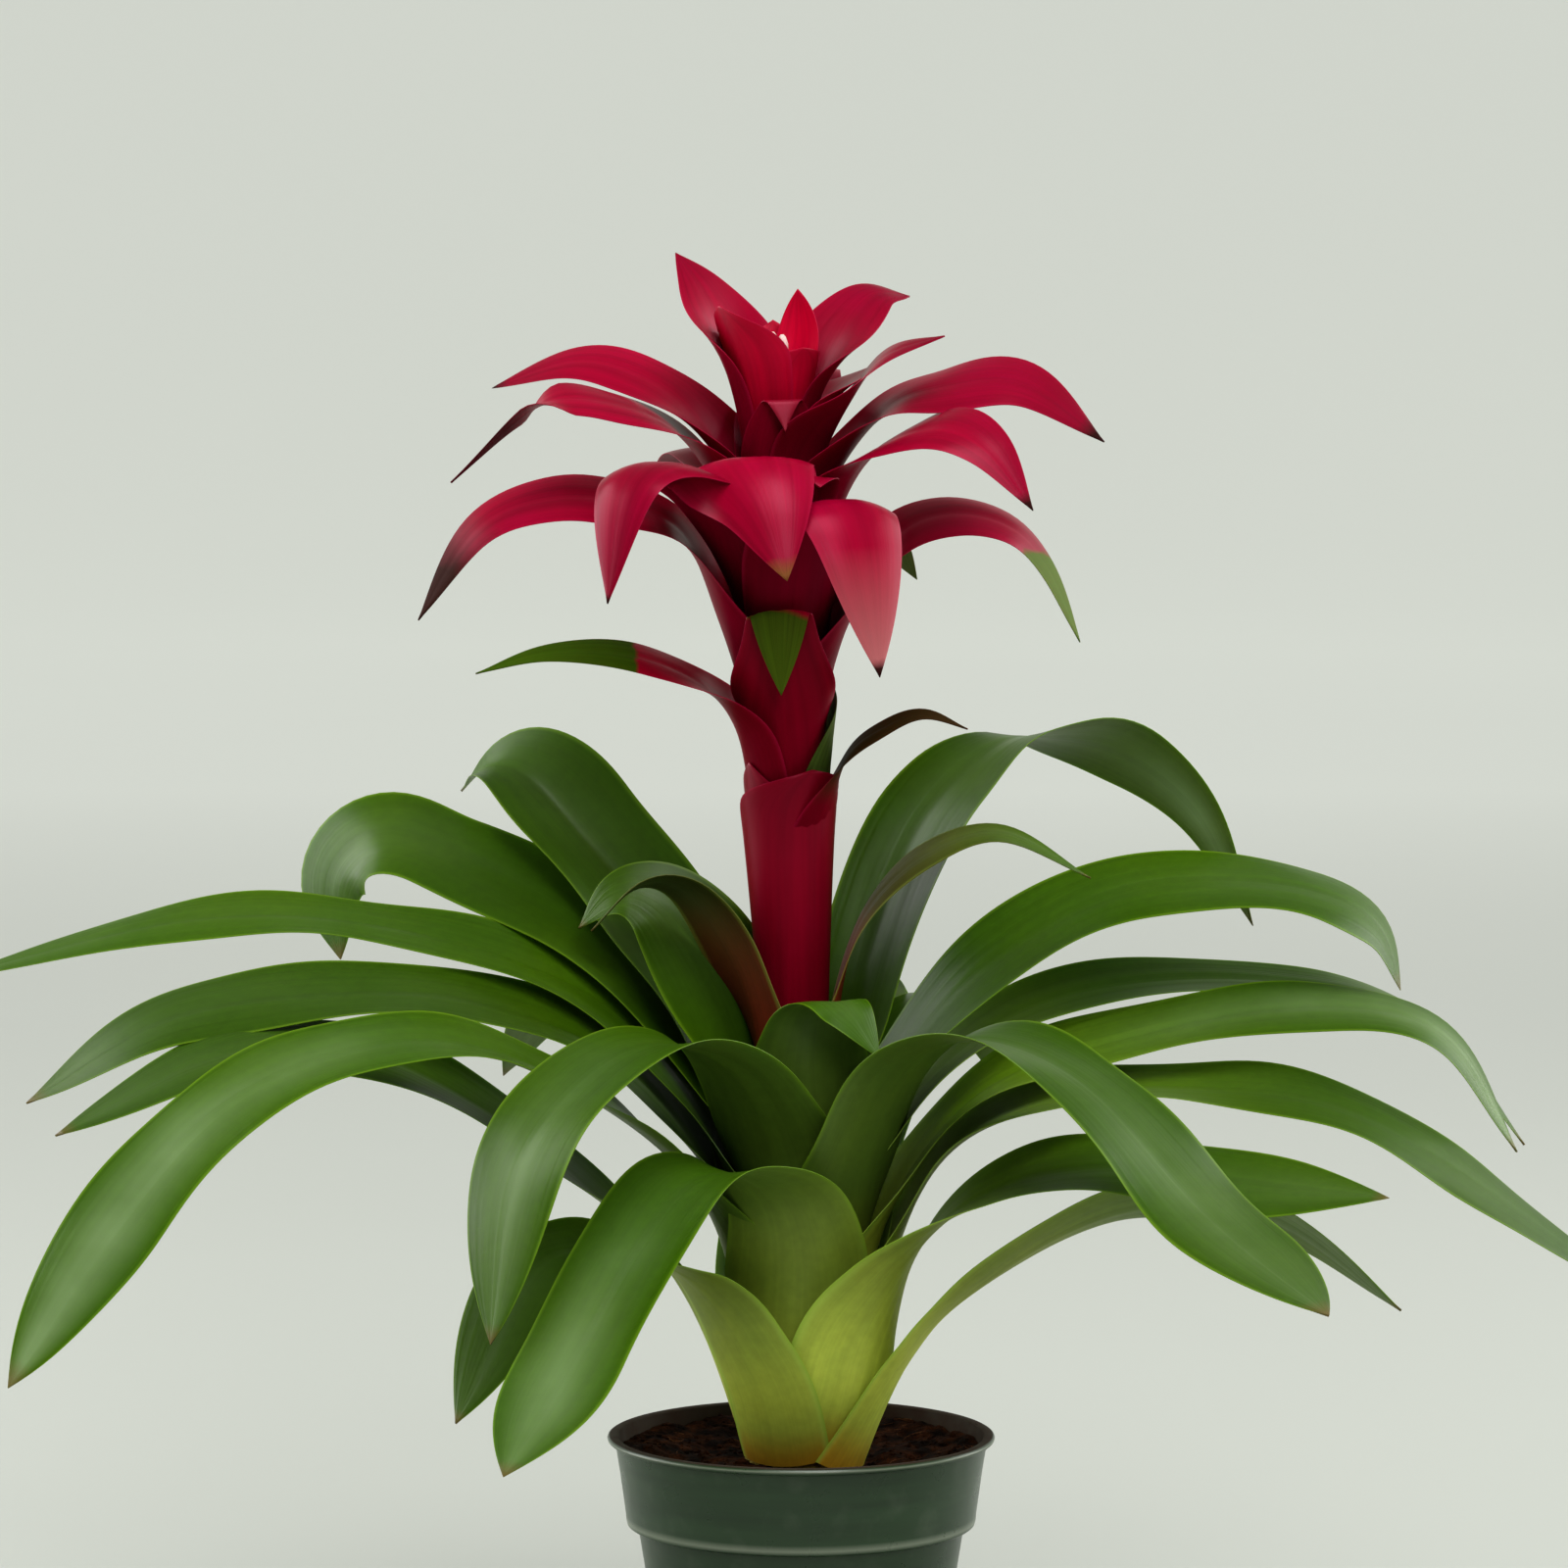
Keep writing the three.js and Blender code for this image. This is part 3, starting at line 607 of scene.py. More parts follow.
def bract_surface(tree, foot, body, lit, gloss, tip=None, fade_and_highlight=None):
    """A waxy red bract, with the tip that some of them have in another colour."""
    across, share = (axis_of(tree, blade_place(tree), axis) for axis in "XY")
    fine = veins(tree, 34, 1.5)
    rough = spread(tree, fine, 0.3, 0.7, gloss - 0.02, gloss + 0.03)
    gleam = spread(tree, share, 0.4, 0.75, 0.12, 0.65)
    # The ramp is darker at the foot and lighter at 0.7 of the length; that lighter stop, lit, is
    # a painted highlight
    colour = ramped(tree, share, [(0.0, foot), (0.35, body), (0.7, lit), (1.0, body)])
    colour = varied(tree, colour, fine, 0.92, 1.06)
    colour = varied(tree, colour, veins(tree, 8, 1.2), 0.84, 1.14)
    patches = spread(tree, cloud(tree, 26), 0.45, 0.75, 0, 0.3)
    colour = shaded(tree, colour, patches, (1.5, 2.2, 2.2))
    margin = spread(tree, attribute(tree, "edge"), 0.93, 0.99, 0, 0.4)
    colour = mixed(tree, margin, colour, (0.40, 0.012, 0.06))
    # A paler outer part; on flower_bract_04 it is a painted highlight
    if fade_and_highlight:
        colour = mixed(tree, spread(tree, share, 0.72, 0.97, 0, 0.8), colour, fade_and_highlight)
    if tip:
        tip_colour, start, change, slant = tip
        place = folded(tree, "ADD", share,
                       spread(tree, across, 0, 1, -slant, slant),
                       spread(tree, cloud(tree, 90), 0, 1, -0.02, 0.02))
        cut = spread(tree, place, start, start + change)
        colour = mixed(tree, cut, colour, varied(tree, tip_colour, fine, 0.75, 1.2))
        rough = folded(tree, "ADD", rough, folded(tree, "MULTIPLY", cut, 0.25))
        gleam = folded(tree, "MULTIPLY", gleam, spread(tree, cut, 0, 1, 1.0, 0.3))
    return {
        "Base Color": colour,
        "Roughness": rough,
        "Specular IOR Level": gleam,
        "IOR": 1.36,
        "Specular Tint": (1.0, 0.3, 0.42, 1),
        "Subsurface Weight": 0.08,
        "Subsurface Radius": (1.0, 0.2, 0.25),
        "Subsurface Scale": 0.003,
        "Normal": bumped(tree, fine, 0.1, 0.0005),
    }


def pot_surface(tree, colour, stain_and_shade_colour):
    """Moulded plastic: flow marks, small scuffs, soft gloss, painted rim highlights, and peat
    stain with painted shade inside.
    """
    marks = drawn_out(tree, object_place(tree), (14, 14, 160), 3.0)
    dust = cloud(tree, 90, 5.0)
    tint = mixed(tree, 1.0, colour, spread(tree, marks, 0.35, 0.65, 0.85, 1.15), "MULTIPLY")
    tint = mixed(tree, spread(tree, dust, 0.55, 0.8, 0, 0.12), tint, (0.2, 0.22, 0.17))
    # The inner wall and the lip's top take a dark peat-brown colour: partly peat stain, partly
    # painted shade
    stain_and_shade = folded(tree, "MULTIPLY", attribute(tree, "inside"),
                    spread(tree, dust, 0.3, 0.7, 0.8, 1.0))
    # A pale line along the lip's outer rim and the collar's edge: a painted highlight
    worn = folded(tree, "MULTIPLY", attribute(tree, "worn"), 0.4)
    tint = mixed(tree, worn, tint, (0.42, 0.45, 0.36))
    return {
        "Base Color": mixed(tree, stain_and_shade, tint, stain_and_shade_colour),
        "Roughness": folded(tree, "MAXIMUM", spread(tree, dust, 0.35, 0.75, 0.27, 0.34), stain_and_shade),
        "Normal": bumped(tree, marks, 0.08, 0.0006),
    }


def peat_surface(tree, dark, light):
    """Moist peat: dark crumbs with a few reddish flecks."""
    fine = cloud(tree, 900)
    colour = mixed(tree, spread(tree, cloud(tree, 150, 6.0), 0.4, 0.68), dark, light)
    return {
        "Base Color": varied(tree, colour, fine, 0.5, 1.35),
        "Roughness": 0.95,
        "Specular IOR Level": 0.1,
        "Normal": bumped(tree, fine, 0.7, 0.001),
    }


def petal_surface(tree, colour, foot):
    """A fleshy petal, pink at its foot."""
    height = axis_of(tree, object_place(tree), "Z")
    tint = mixed(tree, spread(tree, height, 0.545, 0.558), foot, colour)
    return {
        "Base Color": varied(tree, tint, cloud(tree, 300), 0.9, 1.05),
        "Roughness": 0.4,
        "Subsurface Weight": 0.2,
        "Subsurface Scale": 0.002,
    }


def floor_surface(tree, colour):
    """A plain painted sweep with a faint mottle, lit from within towards the back."""
    depth = axis_of(tree, object_place(tree), "Y")
    return {
        "Base Color": varied(tree, colour, cloud(tree, 0.8), 0.98, 1.02),
        "Roughness": 0.8,
        "Emission Color": (0.97, 1.0, 0.94, 1),
        "Emission Strength": spread(tree, depth, 0.0, 4.0, 0.10, 0.42),
    }


def material_named(name, surface, *args):
    """The material of that name, made the first time that it is asked for."""
    material = bpy.data.materials.get(name)
    if not material:
        material = bpy.data.materials.new(name)
        material.use_nodes = True
        tree = material.node_tree
        wire(tree, tree.nodes["Principled BSDF"], surface(tree, *args))
    return material


# ---- Settings ----
def colour_setting(name, description, default):
    return FloatVectorProperty(name=name, description=description, default=default,
                               subtype="COLOR", size=3, min=0.0, max=1.0)


def length_setting(name, description, default):
    return FloatProperty(name=name, description=description, default=default, min=0.0,
                         unit="LENGTH", precision=5)


def count_setting(name, description, default):
    return IntProperty(name=name, description=description, default=default, min=0)


class BromeliadSizes(bpy.types.PropertyGroup):
    """Sizes that a user would change."""

    lip_radius: length_setting("Lip radius", "Radius of the pot's rolled lip", POT_RADIUS)
    pot_height: length_setting("Pot height", "Height of the pot", POT_TOP)
    pot_wall: length_setting("Pot wall", "Thickness of the pot's wall", 0.0014)
    leaf_thickness: length_setting("Leaf thickness", "Thickness of a leaf's middle", 0.0009)
    bract_thickness: length_setting("Bract thickness", "Thickness of a bract's middle", 0.0008)
    crumbs: count_setting("Crumbs", "Loose crumbs on the soil", 420)
    fibres: count_setting("Fibres", "Loose fibres on the soil", 90)


class BromeliadColours(bpy.types.PropertyGroup):
    """Colours that a user would change."""

    leaf_green: colour_setting("Leaf green", "A full-grown leaf", (0.046, 0.112, 0.001))
    leaf_under: colour_setting("Leaf underside", "The back of a leaf", (0.10, 0.17, 0.025))
    leaf_sheath: colour_setting("Leaf sheath", "The pale foot of a leaf", (0.44, 0.53, 0.08))
    leaf_foot: colour_setting("Leaf foot", "Where a leaf meets the soil", (0.46, 0.27, 0.02))
    leaf_edge: colour_setting("Leaf margin", "The thin light edge", (0.24, 0.40, 0.02))
    bract_red: colour_setting("Bract red", "The body of a bract", (0.245, 0.0002, 0.022))
    stem_red: colour_setting("Stem red", "The bracts that wrap the stem", (0.24, 0.0002, 0.017))
    # Lighter than the other bracts' red, to stand in for light on the shaded cup: painted light
    cup_red: colour_setting("Cup red", "The bracts round the flowers", (0.42, 0.0003, 0.028))
    petal: colour_setting("Petal", "The flowers' petals", (0.86, 0.68, 0.62))
    pot_green: colour_setting("Pot green", "The pot's plastic", (0.021, 0.046, 0.019))
    peat_dark: colour_setting("Dark peat", "The soil's dark parts", (0.008, 0.003, 0.0015))
    peat_light: colour_setting("Light peat", "The soil's light flecks", (0.055, 0.017, 0.005))
    floor: colour_setting("Floor", "The floor and backdrop", (0.42, 0.44, 0.40))


def sizes():
    return bpy.context.scene.bromeliad_sizes


def colours(*names):
    """The colours of those names, as the user has set them."""
    return [tuple(getattr(bpy.context.scene.bromeliad_colours, name)) for name in names]


# ---- Blades as pieces ----
def blade_pair(name, edge, upper, upper_gloss, underside):
    """The upper and under materials of a leaf, from the stops of their colour ramps."""
    return [material_named(f"{name}_upper", leaf_surface, upper, edge, upper_gloss),
            material_named(f"{name}_underside", leaf_surface, underside, edge, 0.4)]


def leaf_materials():
    foot, sheath, green, under, edge = colours(
        "leaf_foot", "leaf_sheath", "leaf_green", "leaf_under", "leaf_edge")
    return blade_pair("leaf", edge, [
        (0.0, foot), (0.12, sheath), (0.5, (0.13, 0.24, 0.008)), (1.0, green),
    ], 0.35, [
        (0.0, foot), (0.13, sheath), (0.55, (0.18, 0.24, 0.03)), (1.0, under),
    ])


def scape_leaf_materials():
    red = (0.28, 0.01, 0.01)
    return blade_pair("scape_leaf", (0.12, 0.08, 0.02), [
        (0.0, red), (0.42, (0.24, 0.03, 0.01)), (0.6, (0.06, 0.06, 0.008)),
        (1.0, (0.05, 0.11, 0.004)),
    ], 0.34, [
        (0.0, red), (0.42, (0.22, 0.03, 0.01)), (0.7, (0.045, 0.05, 0.008)),
        (1.0, (0.045, 0.085, 0.006)),
    ])


DARK = (0.03, 0.008, 0.006)
# Tips in another colour: the colour, the share of the length where it starts, the share
# over which it changes, and how far the change slants across the blade.
BRACT_TIPS = {
    "scape_bract_4": ((0.045, 0.028, 0.008), 0.44, 0.12, 0),
    "scape_bract_5": ((0.07, 0.11, 0.02), 0.45, 0.08, 0),
    "scape_bract_6": ((0.05, 0.105, 0.004), 0.62, 0.012, 0),
    "scape_bract_7": ((0.07, 0.12, 0.008), 0.72, 0.03, 0.03),
    "flower_bract_01": ((0.12, 0.18, 0.04), 0.8, 0.015, 0.03),
    "flower_bract_02": ((0.030, 0.010, 0.005), 0.78, 0.12, 0),
    "flower_bract_04": (DARK, 0.96, 0.02, 0),
    "flower_bract_05": (DARK, 0.97, 0.02, 0),
    "flower_bract_06": ((0.09, 0.13, 0.03), 0.6, 0.05, 0),
    "flower_bract_07": ((0.22, 0.09, 0.03), 0.94, 0.04, 0),
    "flower_bract_08": (DARK, 0.95, 0.03, 0),
    "flower_bract_09": (DARK, 0.92, 0.04, 0),
    "flower_bract_10": ((0.085, 0.008, 0.014), 0.76, 0.08, 0),
    "flower_bract_11": (DARK, 0.93, 0.04, 0),
    "flower_bract_12": (DARK, 0.95, 0.04, 0),
}
# Paler outer parts: flower_bract_04's pale pink is a painted highlight; flower_bract_16's is a
# paler tip
BRACT_FADES_AND_HIGHLIGHTS = {"flower_bract_04": (0.46, 0.17, 0.17), "flower_bract_16": (0.24, 0.02, 0.035)}


def scaled(colour, share):
    return tuple(min(1, share * v) for v in colour)


def bract_materials(node):
    """The upper and under materials of a bract, which differ in their tips."""
    kind = {"scape": "stem", "flower": "bract"}.get(node.split("_")[0], "cup")
    [body] = colours(f"{kind}_red")
    tip, fade_and_highlight = BRACT_TIPS.get(node), BRACT_FADES_AND_HIGHLIGHTS.get(node)
    name = node if tip or fade_and_highlight else kind
    # lit, a lighter copy of the red, is a painted highlight at mid-blade; low, the underside's
    # red, is a darker copy
    lit, low = scaled(body, 1.35), scaled(body, 0.8)
    return [
        material_named(f"{name}_red_upper", bract_surface, scaled(body, 0.55), body, lit,
                       0.33, tip, fade_and_highlight),
        material_named(f"{name}_red_underside", bract_surface, scaled(low, 0.6), low, body,
                       0.4, tip, fade_and_highlight),
    ]


def leaning(points):
    """The spike's points, leaned at the neck. Heights are above the soil, in mm."""
    height = points[:, 2] - NECK_HEIGHT
    c, s = math.cos(SPIKE_LEAN), math.sin(SPIKE_LEAN)
    return np.column_stack([points[:, 0] * c - height * s, points[:, 1],
                            NECK_HEIGHT + points[:, 0] * s + height * c])


def plant(piece, points):
    """Sets the piece's points, which are in mm above the soil."""
    set_points(piece, (points + (0, 0, SOIL_TOP / MM)) * MM)


def make_blade(node, blade, thickness, materials, slot, seed, lean=False):
    """One leaf or bract: a grid laid along its line, given its wall, and smoothed."""
    rng = random.Random(seed)
    piece = new_piece(f"{node}_blade", bpy.ops.mesh.primitive_grid_add, size=2, calc_uvs=True,
                      x_subdivisions=blade["across"], y_subdivisions=blade["along"])
    flat = get_points(piece)
    across, share = -flat[:, 0], (flat[:, 1] + 1) / 2
    points, length = blade_points(blade, share, across, rng)
    plant(piece, leaning(points) if lean else points)
    same = np.ones(len(share))
    set_attributes(piece, ripe=share * length / blade["ripen"], edge=np.abs(across),
                   tone=same * rng.uniform(-1, 1), bloom=same * blade["bloom"])
    group = piece.vertex_groups.new(name="fleshy")
    for index, weight in enumerate(1 - across**4):
        group.add([index], float(weight), "REPLACE")
    with editing(piece):
        bpy.ops.mesh.remove_doubles(threshold=WELD)
    settle(piece, materials, slot, node)
    finish_modifier(piece, "SOLIDIFY", thickness=thickness, offset=0.0, vertex_group="fleshy",
                    thickness_vertex_group=0.3, material_offset=1)
    smooth(piece, 60)
    return piece


# ---- Operators ----
class MakePot(bpy.types.Operator):
    """Makes the thin-wall nursery pot, with its lip, collar, foot ring and drain holes"""

    bl_idname = "bromeliad.make_pot"
    bl_label = "Nursery pot"

    def execute(self, context):
        s = sizes()
        wall, top, lip = s.pot_wall / MM, s.pot_height / MM, s.lip_radius / MM
        collar = top - COLLAR_DROP
        pot = turned("nursery_pot", [
            (0, 0),
            (18, 0), (18.6, 1.5), (19, 3),
            (45, 3), (45.6, 1.5), (46, 0),
            (49.4, 0), (50.1, 0.6),
            (56.5, 44.5), (63.85, collar - 3), (64, collar - 2),
            (67.2, collar - 1.6), (68.2, collar - 0.9), (68.6, collar + 0.6),
            (68.8, collar + 3), (70.9, collar + 18.5), (72.7, top - 4.2),
            (72.9, top - 3.1), (lip - 0.9, top - 2.4), (lip - 0.2, top - 1.8),
            (lip, top - 1.1), (lip - 0.3, top - 0.4), (lip - 1, top),
            (lip - 3.6, top), (lip - 4.3, top - 0.4), (71.6, top - 1.5),
            (69.4, collar + 18.5), (67.2, collar + wall + 1),
            (66.6, collar + wall), (62.7, collar - 0.5), (62.4, collar - 2),
            (55.1, 44.5), (48.8, 5.2), (48, 4.4),
            (0, 4.4),
        ], 160)
        drills = []
        for angle in np.arange(DRAINS) * math.tau / DRAINS:
            bpy.ops.mesh.primitive_cylinder_add(
                vertices=32, radius=DRAIN_RADIUS, depth=0.012,
                location=(*polar(DRAIN_RING, angle), 0.0037))
            drills.insert(0, bpy.context.active_object)
        join(drills)
        finish_modifier(pot, "BOOLEAN", object=drills[0], operation="DIFFERENCE",
                        solver="EXACT")
        bpy.data.objects.remove(drills[0])
        smooth(pot, 38)
        points = get_points(pot) / MM
        radius, height = np.hypot(points[:, 0], points[:, 1]), points[:, 2]
        wall_middle = np.interp(height, (0, collar, collar + 3, top - 1, top),
                                (49.3, 63.3, 67.9, 72.2, lip - 0.5))
        # The collar's edge and the lip's outer rim get a painted highlight
        collar_edge = (np.abs(height - collar - 0.6) < 0.3) & (radius > 67.5)
        # inside marks where the dark peat stain and painted shade go: the inner wall and the
        # inner part of the lip's top
        set_attributes(pot, inside=(radius < wall_middle) & (height > 3.5),
                       worn=(radius > lip - 0.1) | collar_edge)
        # The last colour is the dark peat stain and painted shade inside the pot
        material = material_named("moulded_plastic", pot_surface, *colours("pot_green"),
                                  (0.030, 0.011, 0.004))
        settle(pot, [material], "pot_plastic", "pot")
        return {"FINISHED"}


def soil_height(x, y):
    """The height of the mounded soil at a place, in metres."""
    mound = SOIL_TOP + 0.0055 * float(smoothstep(math.hypot(x, y), 0.040, 0.0715))
    lumps = sum(height * noise.noise(Vector((x * scale, y * scale, layer)))
                for height, scale, layer in SOIL_LUMPS)
    return mound + lumps - 0.0006


class MakeSoil(bpy.types.Operator):
    """Makes the block of peat with its rough mounded top, and the crumbs and fibres on it"""

    bl_idname = "bromeliad.make_soil"
    bl_label = "Soil"

    def execute(self, context):
        peat = material_named("peat", peat_surface, *colours("peat_dark", "peat_light"))
        dry = material_named("peat_fibre", peat_surface, (0.045, 0.018, 0.008),
                             (0.17, 0.075, 0.035))
        self.block(peat)
        self.crumbs(peat, sizes().crumbs)
        self.fibres(dry, sizes().fibres)
        return {"FINISHED"}

    def block(self, peat):
        block, disc = new_disc("peat_block", 150)
        disc *= SOIL_RIM
        set_points(block, np.column_stack([disc, [soil_height(x, y) for x, y in disc]]))
        radius = SOIL_RIM
        with editing(block):
            bpy.ops.mesh.region_to_loop()
            for next_radius, height in SOIL_TAPER:
                bpy.ops.mesh.extrude_region()
                share = next_radius / radius
                bpy.ops.transform.resize(value=(share, share, 0),
                                         center_override=(0, 0, height))
                radius = next_radius
            bpy.ops.mesh.edge_face_add()
            face_outwards()
        smooth(block, 70)
        settle(block, [peat], "soil", "soil")

    def crumbs(self, peat, count):
        crumb = new_piece("peat_crumbs", bpy.ops.mesh.primitive_ico_sphere_add,
                          subdivisions=1, radius=1)
        ball = get_points(crumb)

        def drawn(rng):
            size = rng.uniform(0.0005, 0.0015) * (1.7 if rng.random() < 0.12 else 1)
            stretch = [rng.uniform(0.7, 1.6), rng.uniform(0.6, 1.2), rng.uniform(0.5, 1)]
            rough = np.array([[rng.uniform(0.7, 1.2)] for _ in ball])
            return ball * rough * stretch * size

        self.scatter(crumb, drawn, count, random.Random(CRUMB_SEED), peat)

    def fibres(self, dry, count):
        fibre = new_piece("peat_fibres", bpy.ops.mesh.primitive_cylinder_add, vertices=5,
                          radius=1, depth=2, rotation=(0, math.pi / 2, 0))
        bpy.ops.object.transform_apply(location=False, rotation=True, scale=False)
        with editing(fibre):
            for place in (-0.6, -0.2, 0.2, 0.6):
                bpy.ops.mesh.select_all(action="SELECT")
                bpy.ops.mesh.bisect(plane_co=(place, 0, 0), plane_no=(1, 0, 0))
        t, *section = get_points(fibre).T

        def drawn(rng):
            length, width = rng.uniform(0.003, 0.009), rng.uniform(0.00012, 0.0003)
            curl, rise = rng.uniform(-0.8, 0.8), rng.uniform(-0.1, 0.35)
            return np.stack([
                t * length / 2,
                curl * length / 3 * (t * t - 0.4) + section[0] * width,
                rise * length / 2 * t + section[1] * width + 0.0006,
            ], axis=1)

        self.scatter(fibre, drawn, count, random.Random(FIBRE_SEED), dry)

    def scatter(self, sample, drawn, count, rng, material):
        """Lays changed copies of the sample on the open soil, and joins them."""
        name = sample.name
        copies = []
        for _ in range(count):
            reach = math.sqrt(rng.uniform(0.026**2, 0.0685**2))
            x, y = polar(reach, rng.uniform(0, math.tau))
            points = drawn(rng)
            angle = rng.uniform(0, math.tau)
            spin = np.array([[math.cos(angle), -math.sin(angle), 0],
                             [math.sin(angle), math.cos(angle), 0], [0, 0, 1]])
            copy = sample.copy()
            copy.data = sample.data.copy()
            bpy.context.scene.collection.objects.link(copy)
            set_points(copy, points @ spin.T + (x, y, soil_height(x, y)))
            copies.append(copy)
        bpy.data.objects.remove(sample)
        join(copies)
        settle(renamed(name), [material], "soil")


class MakeStems(bpy.types.Operator):
    """Makes the short crown that the leaves grow from and the round flower stem"""

    bl_idname = "bromeliad.make_stems"
    bl_label = "Crown and flower stem"

    def execute(self, context):
        crown = turned("crown_stem", [
            (0, -1), (22.2, -1), (21.5, 10), (19, 35), (14.5, 60), (9.9, NECK_HEIGHT),
            (0, NECK_HEIGHT),
        ], 64)
        plant(crown, get_points(crown) / MM)
        smooth(crown, 40)
        flesh = material_named("crown_flesh", peat_surface, (0.22, 0.15, 0.03),
                               (0.36, 0.30, 0.08))
        settle(crown, [flesh], "crown", "crown")
        stem = turned("spike_stem", [
            (0, NECK_HEIGHT), (9.2, NECK_HEIGHT), (9.6, 200), (9.6, 300), (8.8, 366),
            (6.2, 392), (4, SPIKE_TOP), (0, SPIKE_TOP),
        ], 48)
        plant(stem, leaning(get_points(stem) / MM))
        smooth(stem, 40)
        [red] = colours("stem_red")
        skin = material_named("stem_skin", peat_surface, scaled(red, 0.7), red)
        settle(stem, [skin], "flower_stem", "flower_stem")
        return {"FINISHED"}


class MakeRosette(bpy.types.Operator):
    """Makes the rosette's strap leaves"""

    bl_idname = "bromeliad.make_rosette"
    bl_label = "Rosette leaves"

    def execute(self, context):
        materials = leaf_materials()
        for order, (azimuth, half, roll, path, form) in enumerate(ROSETTE):
            share = order / (len(ROSETTE) + 1)
            radius = CROWN_RADIUS + (NECK_RADIUS - CROWN_RADIUS) * share
            foot = (radius, -2 + 83 * share, form.get("turn", 0))
            blade = {**LEAF_FORM, "ripen": 150 - 95 * min(1, share * 1.5), **form,
                     "azimuth": azimuth, "half": half, "roll": roll, "path": [foot, *path]}
            make_blade(f"leaf_{order + 1:02d}", blade, sizes().leaf_thickness, materials,
                       "leaf", LEAF_SEED + order)
        return {"FINISHED"}


class MakeSpike(bpy.types.Operator):
    """Makes the flower spike's leaves and bracts, from the neck to the cup"""

    bl_idname = "bromeliad.make_spike"
    bl_label = "Spike bracts"

    def execute(self, context):
        for order, (node, azimuth, half, roll, path, form) in enumerate(SPIKE_BLADES):
            blade = {**BRACT_FORM, **form, "azimuth": azimuth, "half": half, "roll": roll,
                     "path": path}
            slot = "cup_bract" if node == "inner_bract" else node.rsplit("_", 1)[0]
            leafy = slot == "scape_leaf"
            materials = scape_leaf_materials() if leafy else bract_materials(node)
            make_blade(node, blade, sizes().bract_thickness, materials, slot,
                       SPIKE_SEED + order, lean=True)
        return {"FINISHED"}


class MakeFlorets(bpy.types.Operator):
    """Makes the two flower buds that stand in the cup, each a tube of three petals"""

    bl_idname = "bromeliad.make_florets"
    bl_label = "Flower buds"

    def execute(self, context):
        material = material_named("fleshy_petal", petal_surface, *colours("petal"),
                                  (0.62, 0.16, 0.18))
        for node, azimuth, reach, foot, length in (
                ("floret_1", 292, 9, 404, 37), ("floret_2", 265, 4, 404, 38)):
            bud = turned(f"{node}_petals", [(radius, share * length) for radius, share in (
                (0, 0), (1.4, 0), (1.6, 0.3), (1.8, 0.6), (2.2, 0.8), (2.2, 0.9), (1.4, 0.97),
                (0.6, 1), (0, 1))], 36)
            points = get_points(bud) / MM
            turn = np.arctan2(points[:, 1], points[:, 0]) + points[:, 2] * 0.05
            lobes = 1 + 0.1 * np.cos(3 * turn) * (points[:, 2] > 0.7 * length)
            points[:, :2] *= lobes[:, None]
            points += (*polar(reach, math.radians(azimuth)), foot)
            plant(bud, leaning(points))
            smooth(bud, 60)
            settle(bud, [material], "petal", node)
        return {"FINISHED"}


def placed(name, data, place, aim):
    """A light or camera at the place, looking at the aim."""
    thing = bpy.data.objects.new(name, data)
    bpy.context.scene.collection.objects.link(thing)
    thing.location = place
    thing.rotation_euler = (Vector(aim) - Vector(place)).to_track_quat("-Z", "Y").to_euler()
    return thing


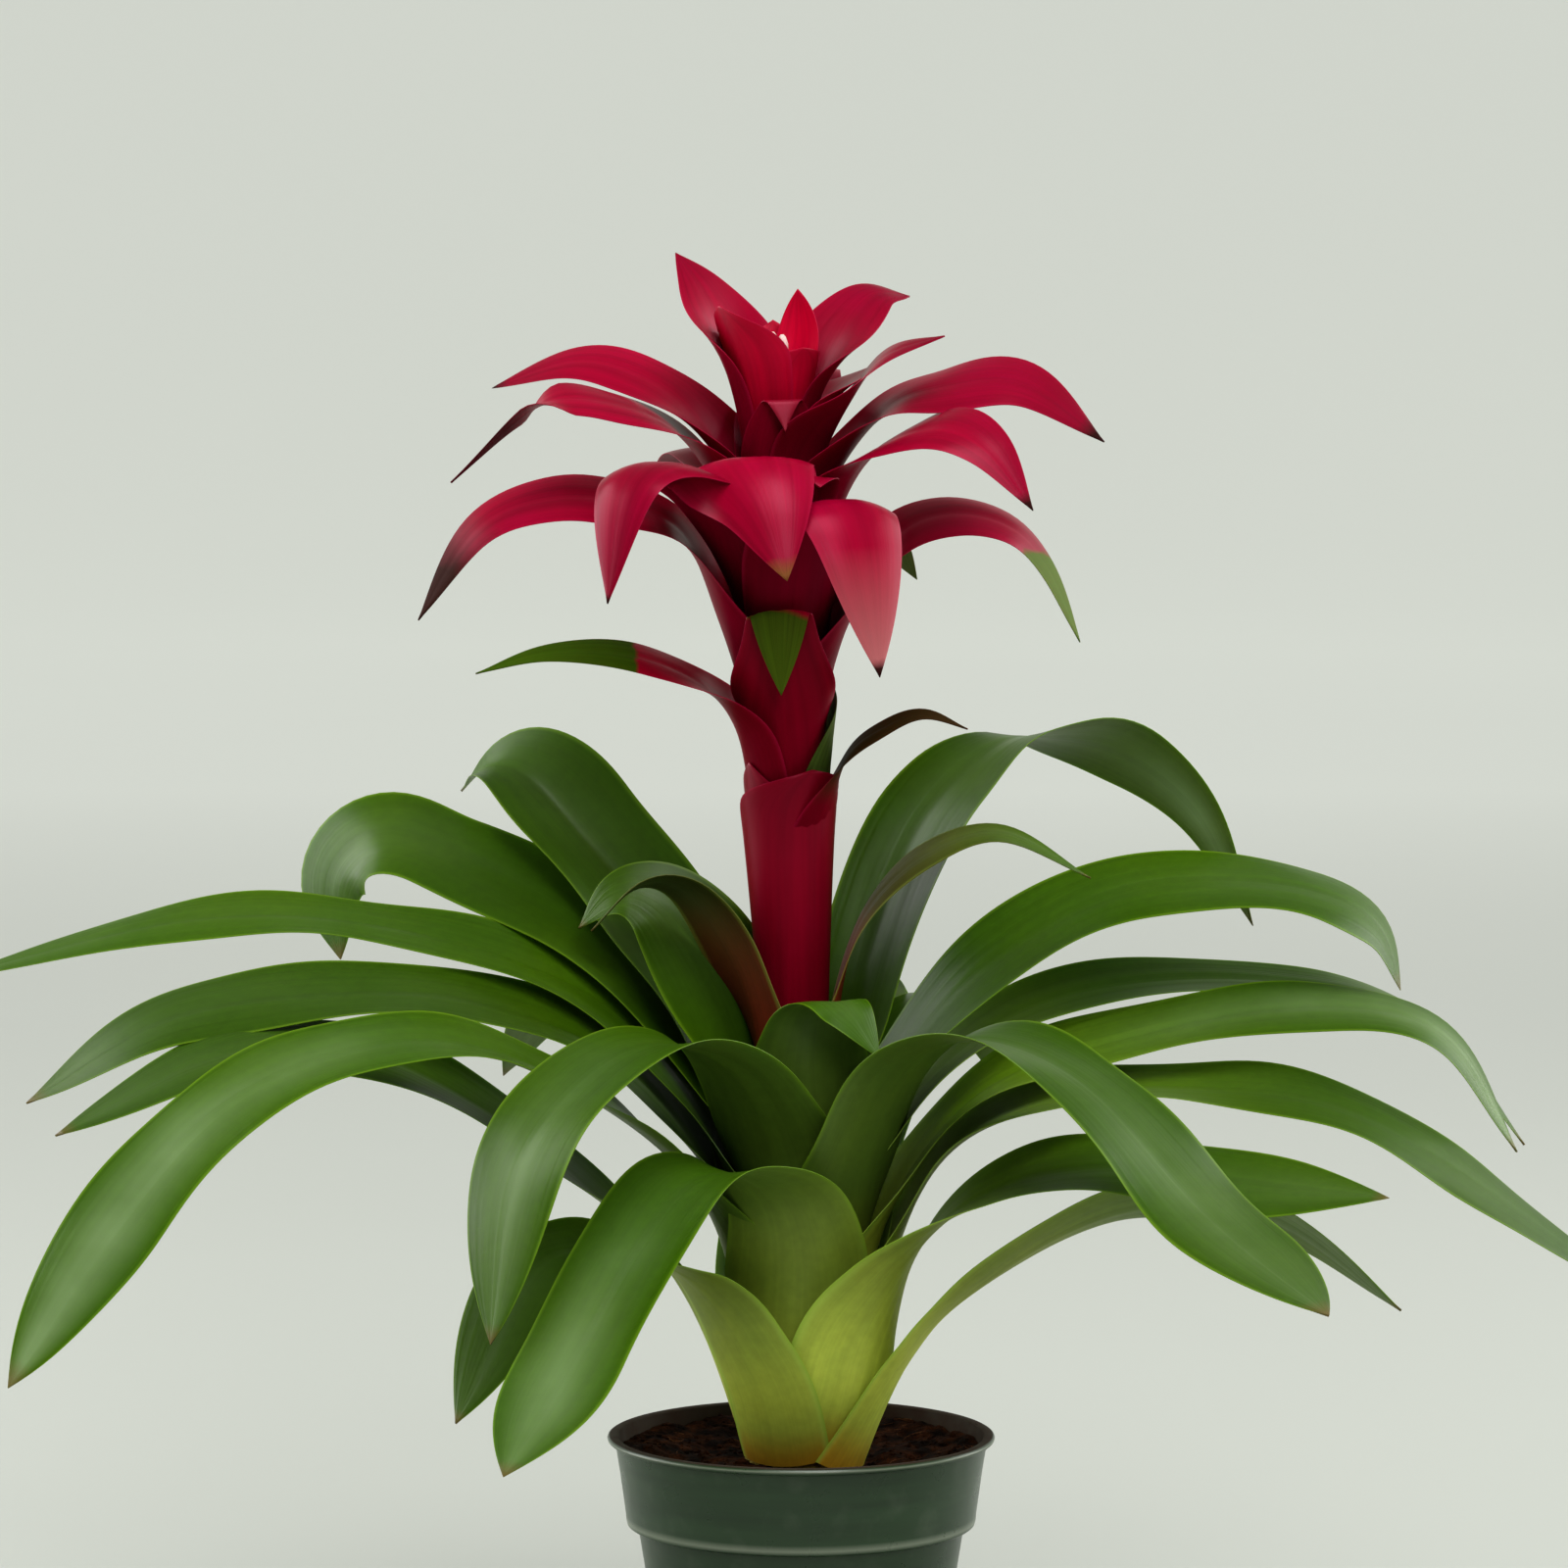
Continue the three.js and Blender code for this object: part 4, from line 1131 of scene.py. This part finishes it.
class MakeStage(bpy.types.Operator):
    """Makes the floor, the soft lights and the camera"""

    bl_idname = "bromeliad.make_stage"
    bl_label = "Stage"

    def execute(self, context):
        scene = context.scene
        self.sweep()
        for name, place, size, power in (
                ("left_window", (-1.9, 0.5, 0.95), 1.8, 30),
                ("right_window", (1.9, 0.6, 0.95), 1.8, 27),
                ("front_window", (0.5, -2.3, 1.7), 0.9, 16),
                ("skylight", (0.2, -1.1, 2.4), 1.3, 32)):
            data = bpy.data.lights.new(name, "AREA")
            data.shape = "SQUARE"
            data.size = size
            data.energy = power
            placed(name, data, place, LIGHTS_AIM)
        world = bpy.data.worlds.new("soft_room")
        world.use_nodes = True
        sky = world.node_tree.nodes["Background"]
        sky.inputs["Color"].default_value = (1.0, 1.0, 0.93, 1)
        sky.inputs["Strength"].default_value = 0.16
        scene.world = world
        data = bpy.data.cameras.new("camera")
        data.sensor_width = 36
        data.lens = 165.96
        data.clip_end = 50
        scene.camera = placed("camera", data, CAMERA_PLACE, CAMERA_AIM)
        scene.view_settings.view_transform = "Standard"
        scene.view_settings.look = "Medium High Contrast"
        return {"FINISHED"}

    def sweep(self):
        """A round floor that curves up into a wall on every side."""
        floor, disc = new_disc("floor_sweep", 96)
        rim, level, bend = 12.0, 6.0, 2.5  # metres along the sweep, flat and curving
        run = np.hypot(disc[:, 0], disc[:, 1]) * rim
        turn = np.clip((run - level) / bend, 0, math.pi / 2)
        reach = np.minimum(run, level) + bend * np.sin(turn)
        height = bend * (1 - np.cos(turn)) + np.maximum(run - level - bend * math.pi / 2, 0)
        disc *= (reach / np.maximum(run / rim, 1e-6))[:, None]
        set_points(floor, np.column_stack([disc, height]))
        smooth(floor, 60)
        floor.data.materials.append(
            material_named("painted_sweep", floor_surface, *colours("floor")))


class BromeliadPanel(bpy.types.Panel):
    """Lists the bromeliad's settings and the steps that make it"""

    bl_idname = "VIEW3D_PT_bromeliad"
    bl_label = "Potted bromeliad"
    bl_space_type = "VIEW_3D"
    bl_region_type = "UI"
    bl_category = "Bromeliad"

    def draw(self, context):
        layout = self.layout
        for settings in (context.scene.bromeliad_sizes, context.scene.bromeliad_colours):
            for key in settings.bl_rna.properties.keys():
                if key not in ("rna_type", "name"):
                    layout.prop(settings, key)
        for step in STEPS:
            layout.operator(step.bl_idname)


STEPS = (MakePot, MakeSoil, MakeStems, MakeRosette, MakeSpike, MakeFlorets, MakeStage)
CLASSES = (BromeliadSizes, BromeliadColours, *STEPS, BromeliadPanel)


def register():
    for cls in CLASSES:
        bpy.utils.register_class(cls)
    bpy.types.Scene.bromeliad_sizes = PointerProperty(type=BromeliadSizes)
    bpy.types.Scene.bromeliad_colours = PointerProperty(type=BromeliadColours)


def unregister():
    del bpy.types.Scene.bromeliad_colours
    del bpy.types.Scene.bromeliad_sizes
    for cls in reversed(CLASSES):
        bpy.utils.unregister_class(cls)


def main():
    register()
    bpy.ops.bromeliad.make_pot()
    bpy.ops.bromeliad.make_soil()
    bpy.ops.bromeliad.make_stems()
    bpy.ops.bromeliad.make_rosette()
    bpy.ops.bromeliad.make_spike()
    bpy.ops.bromeliad.make_florets()
    bpy.ops.bromeliad.make_stage()


if __name__ == "__main__":
    main()
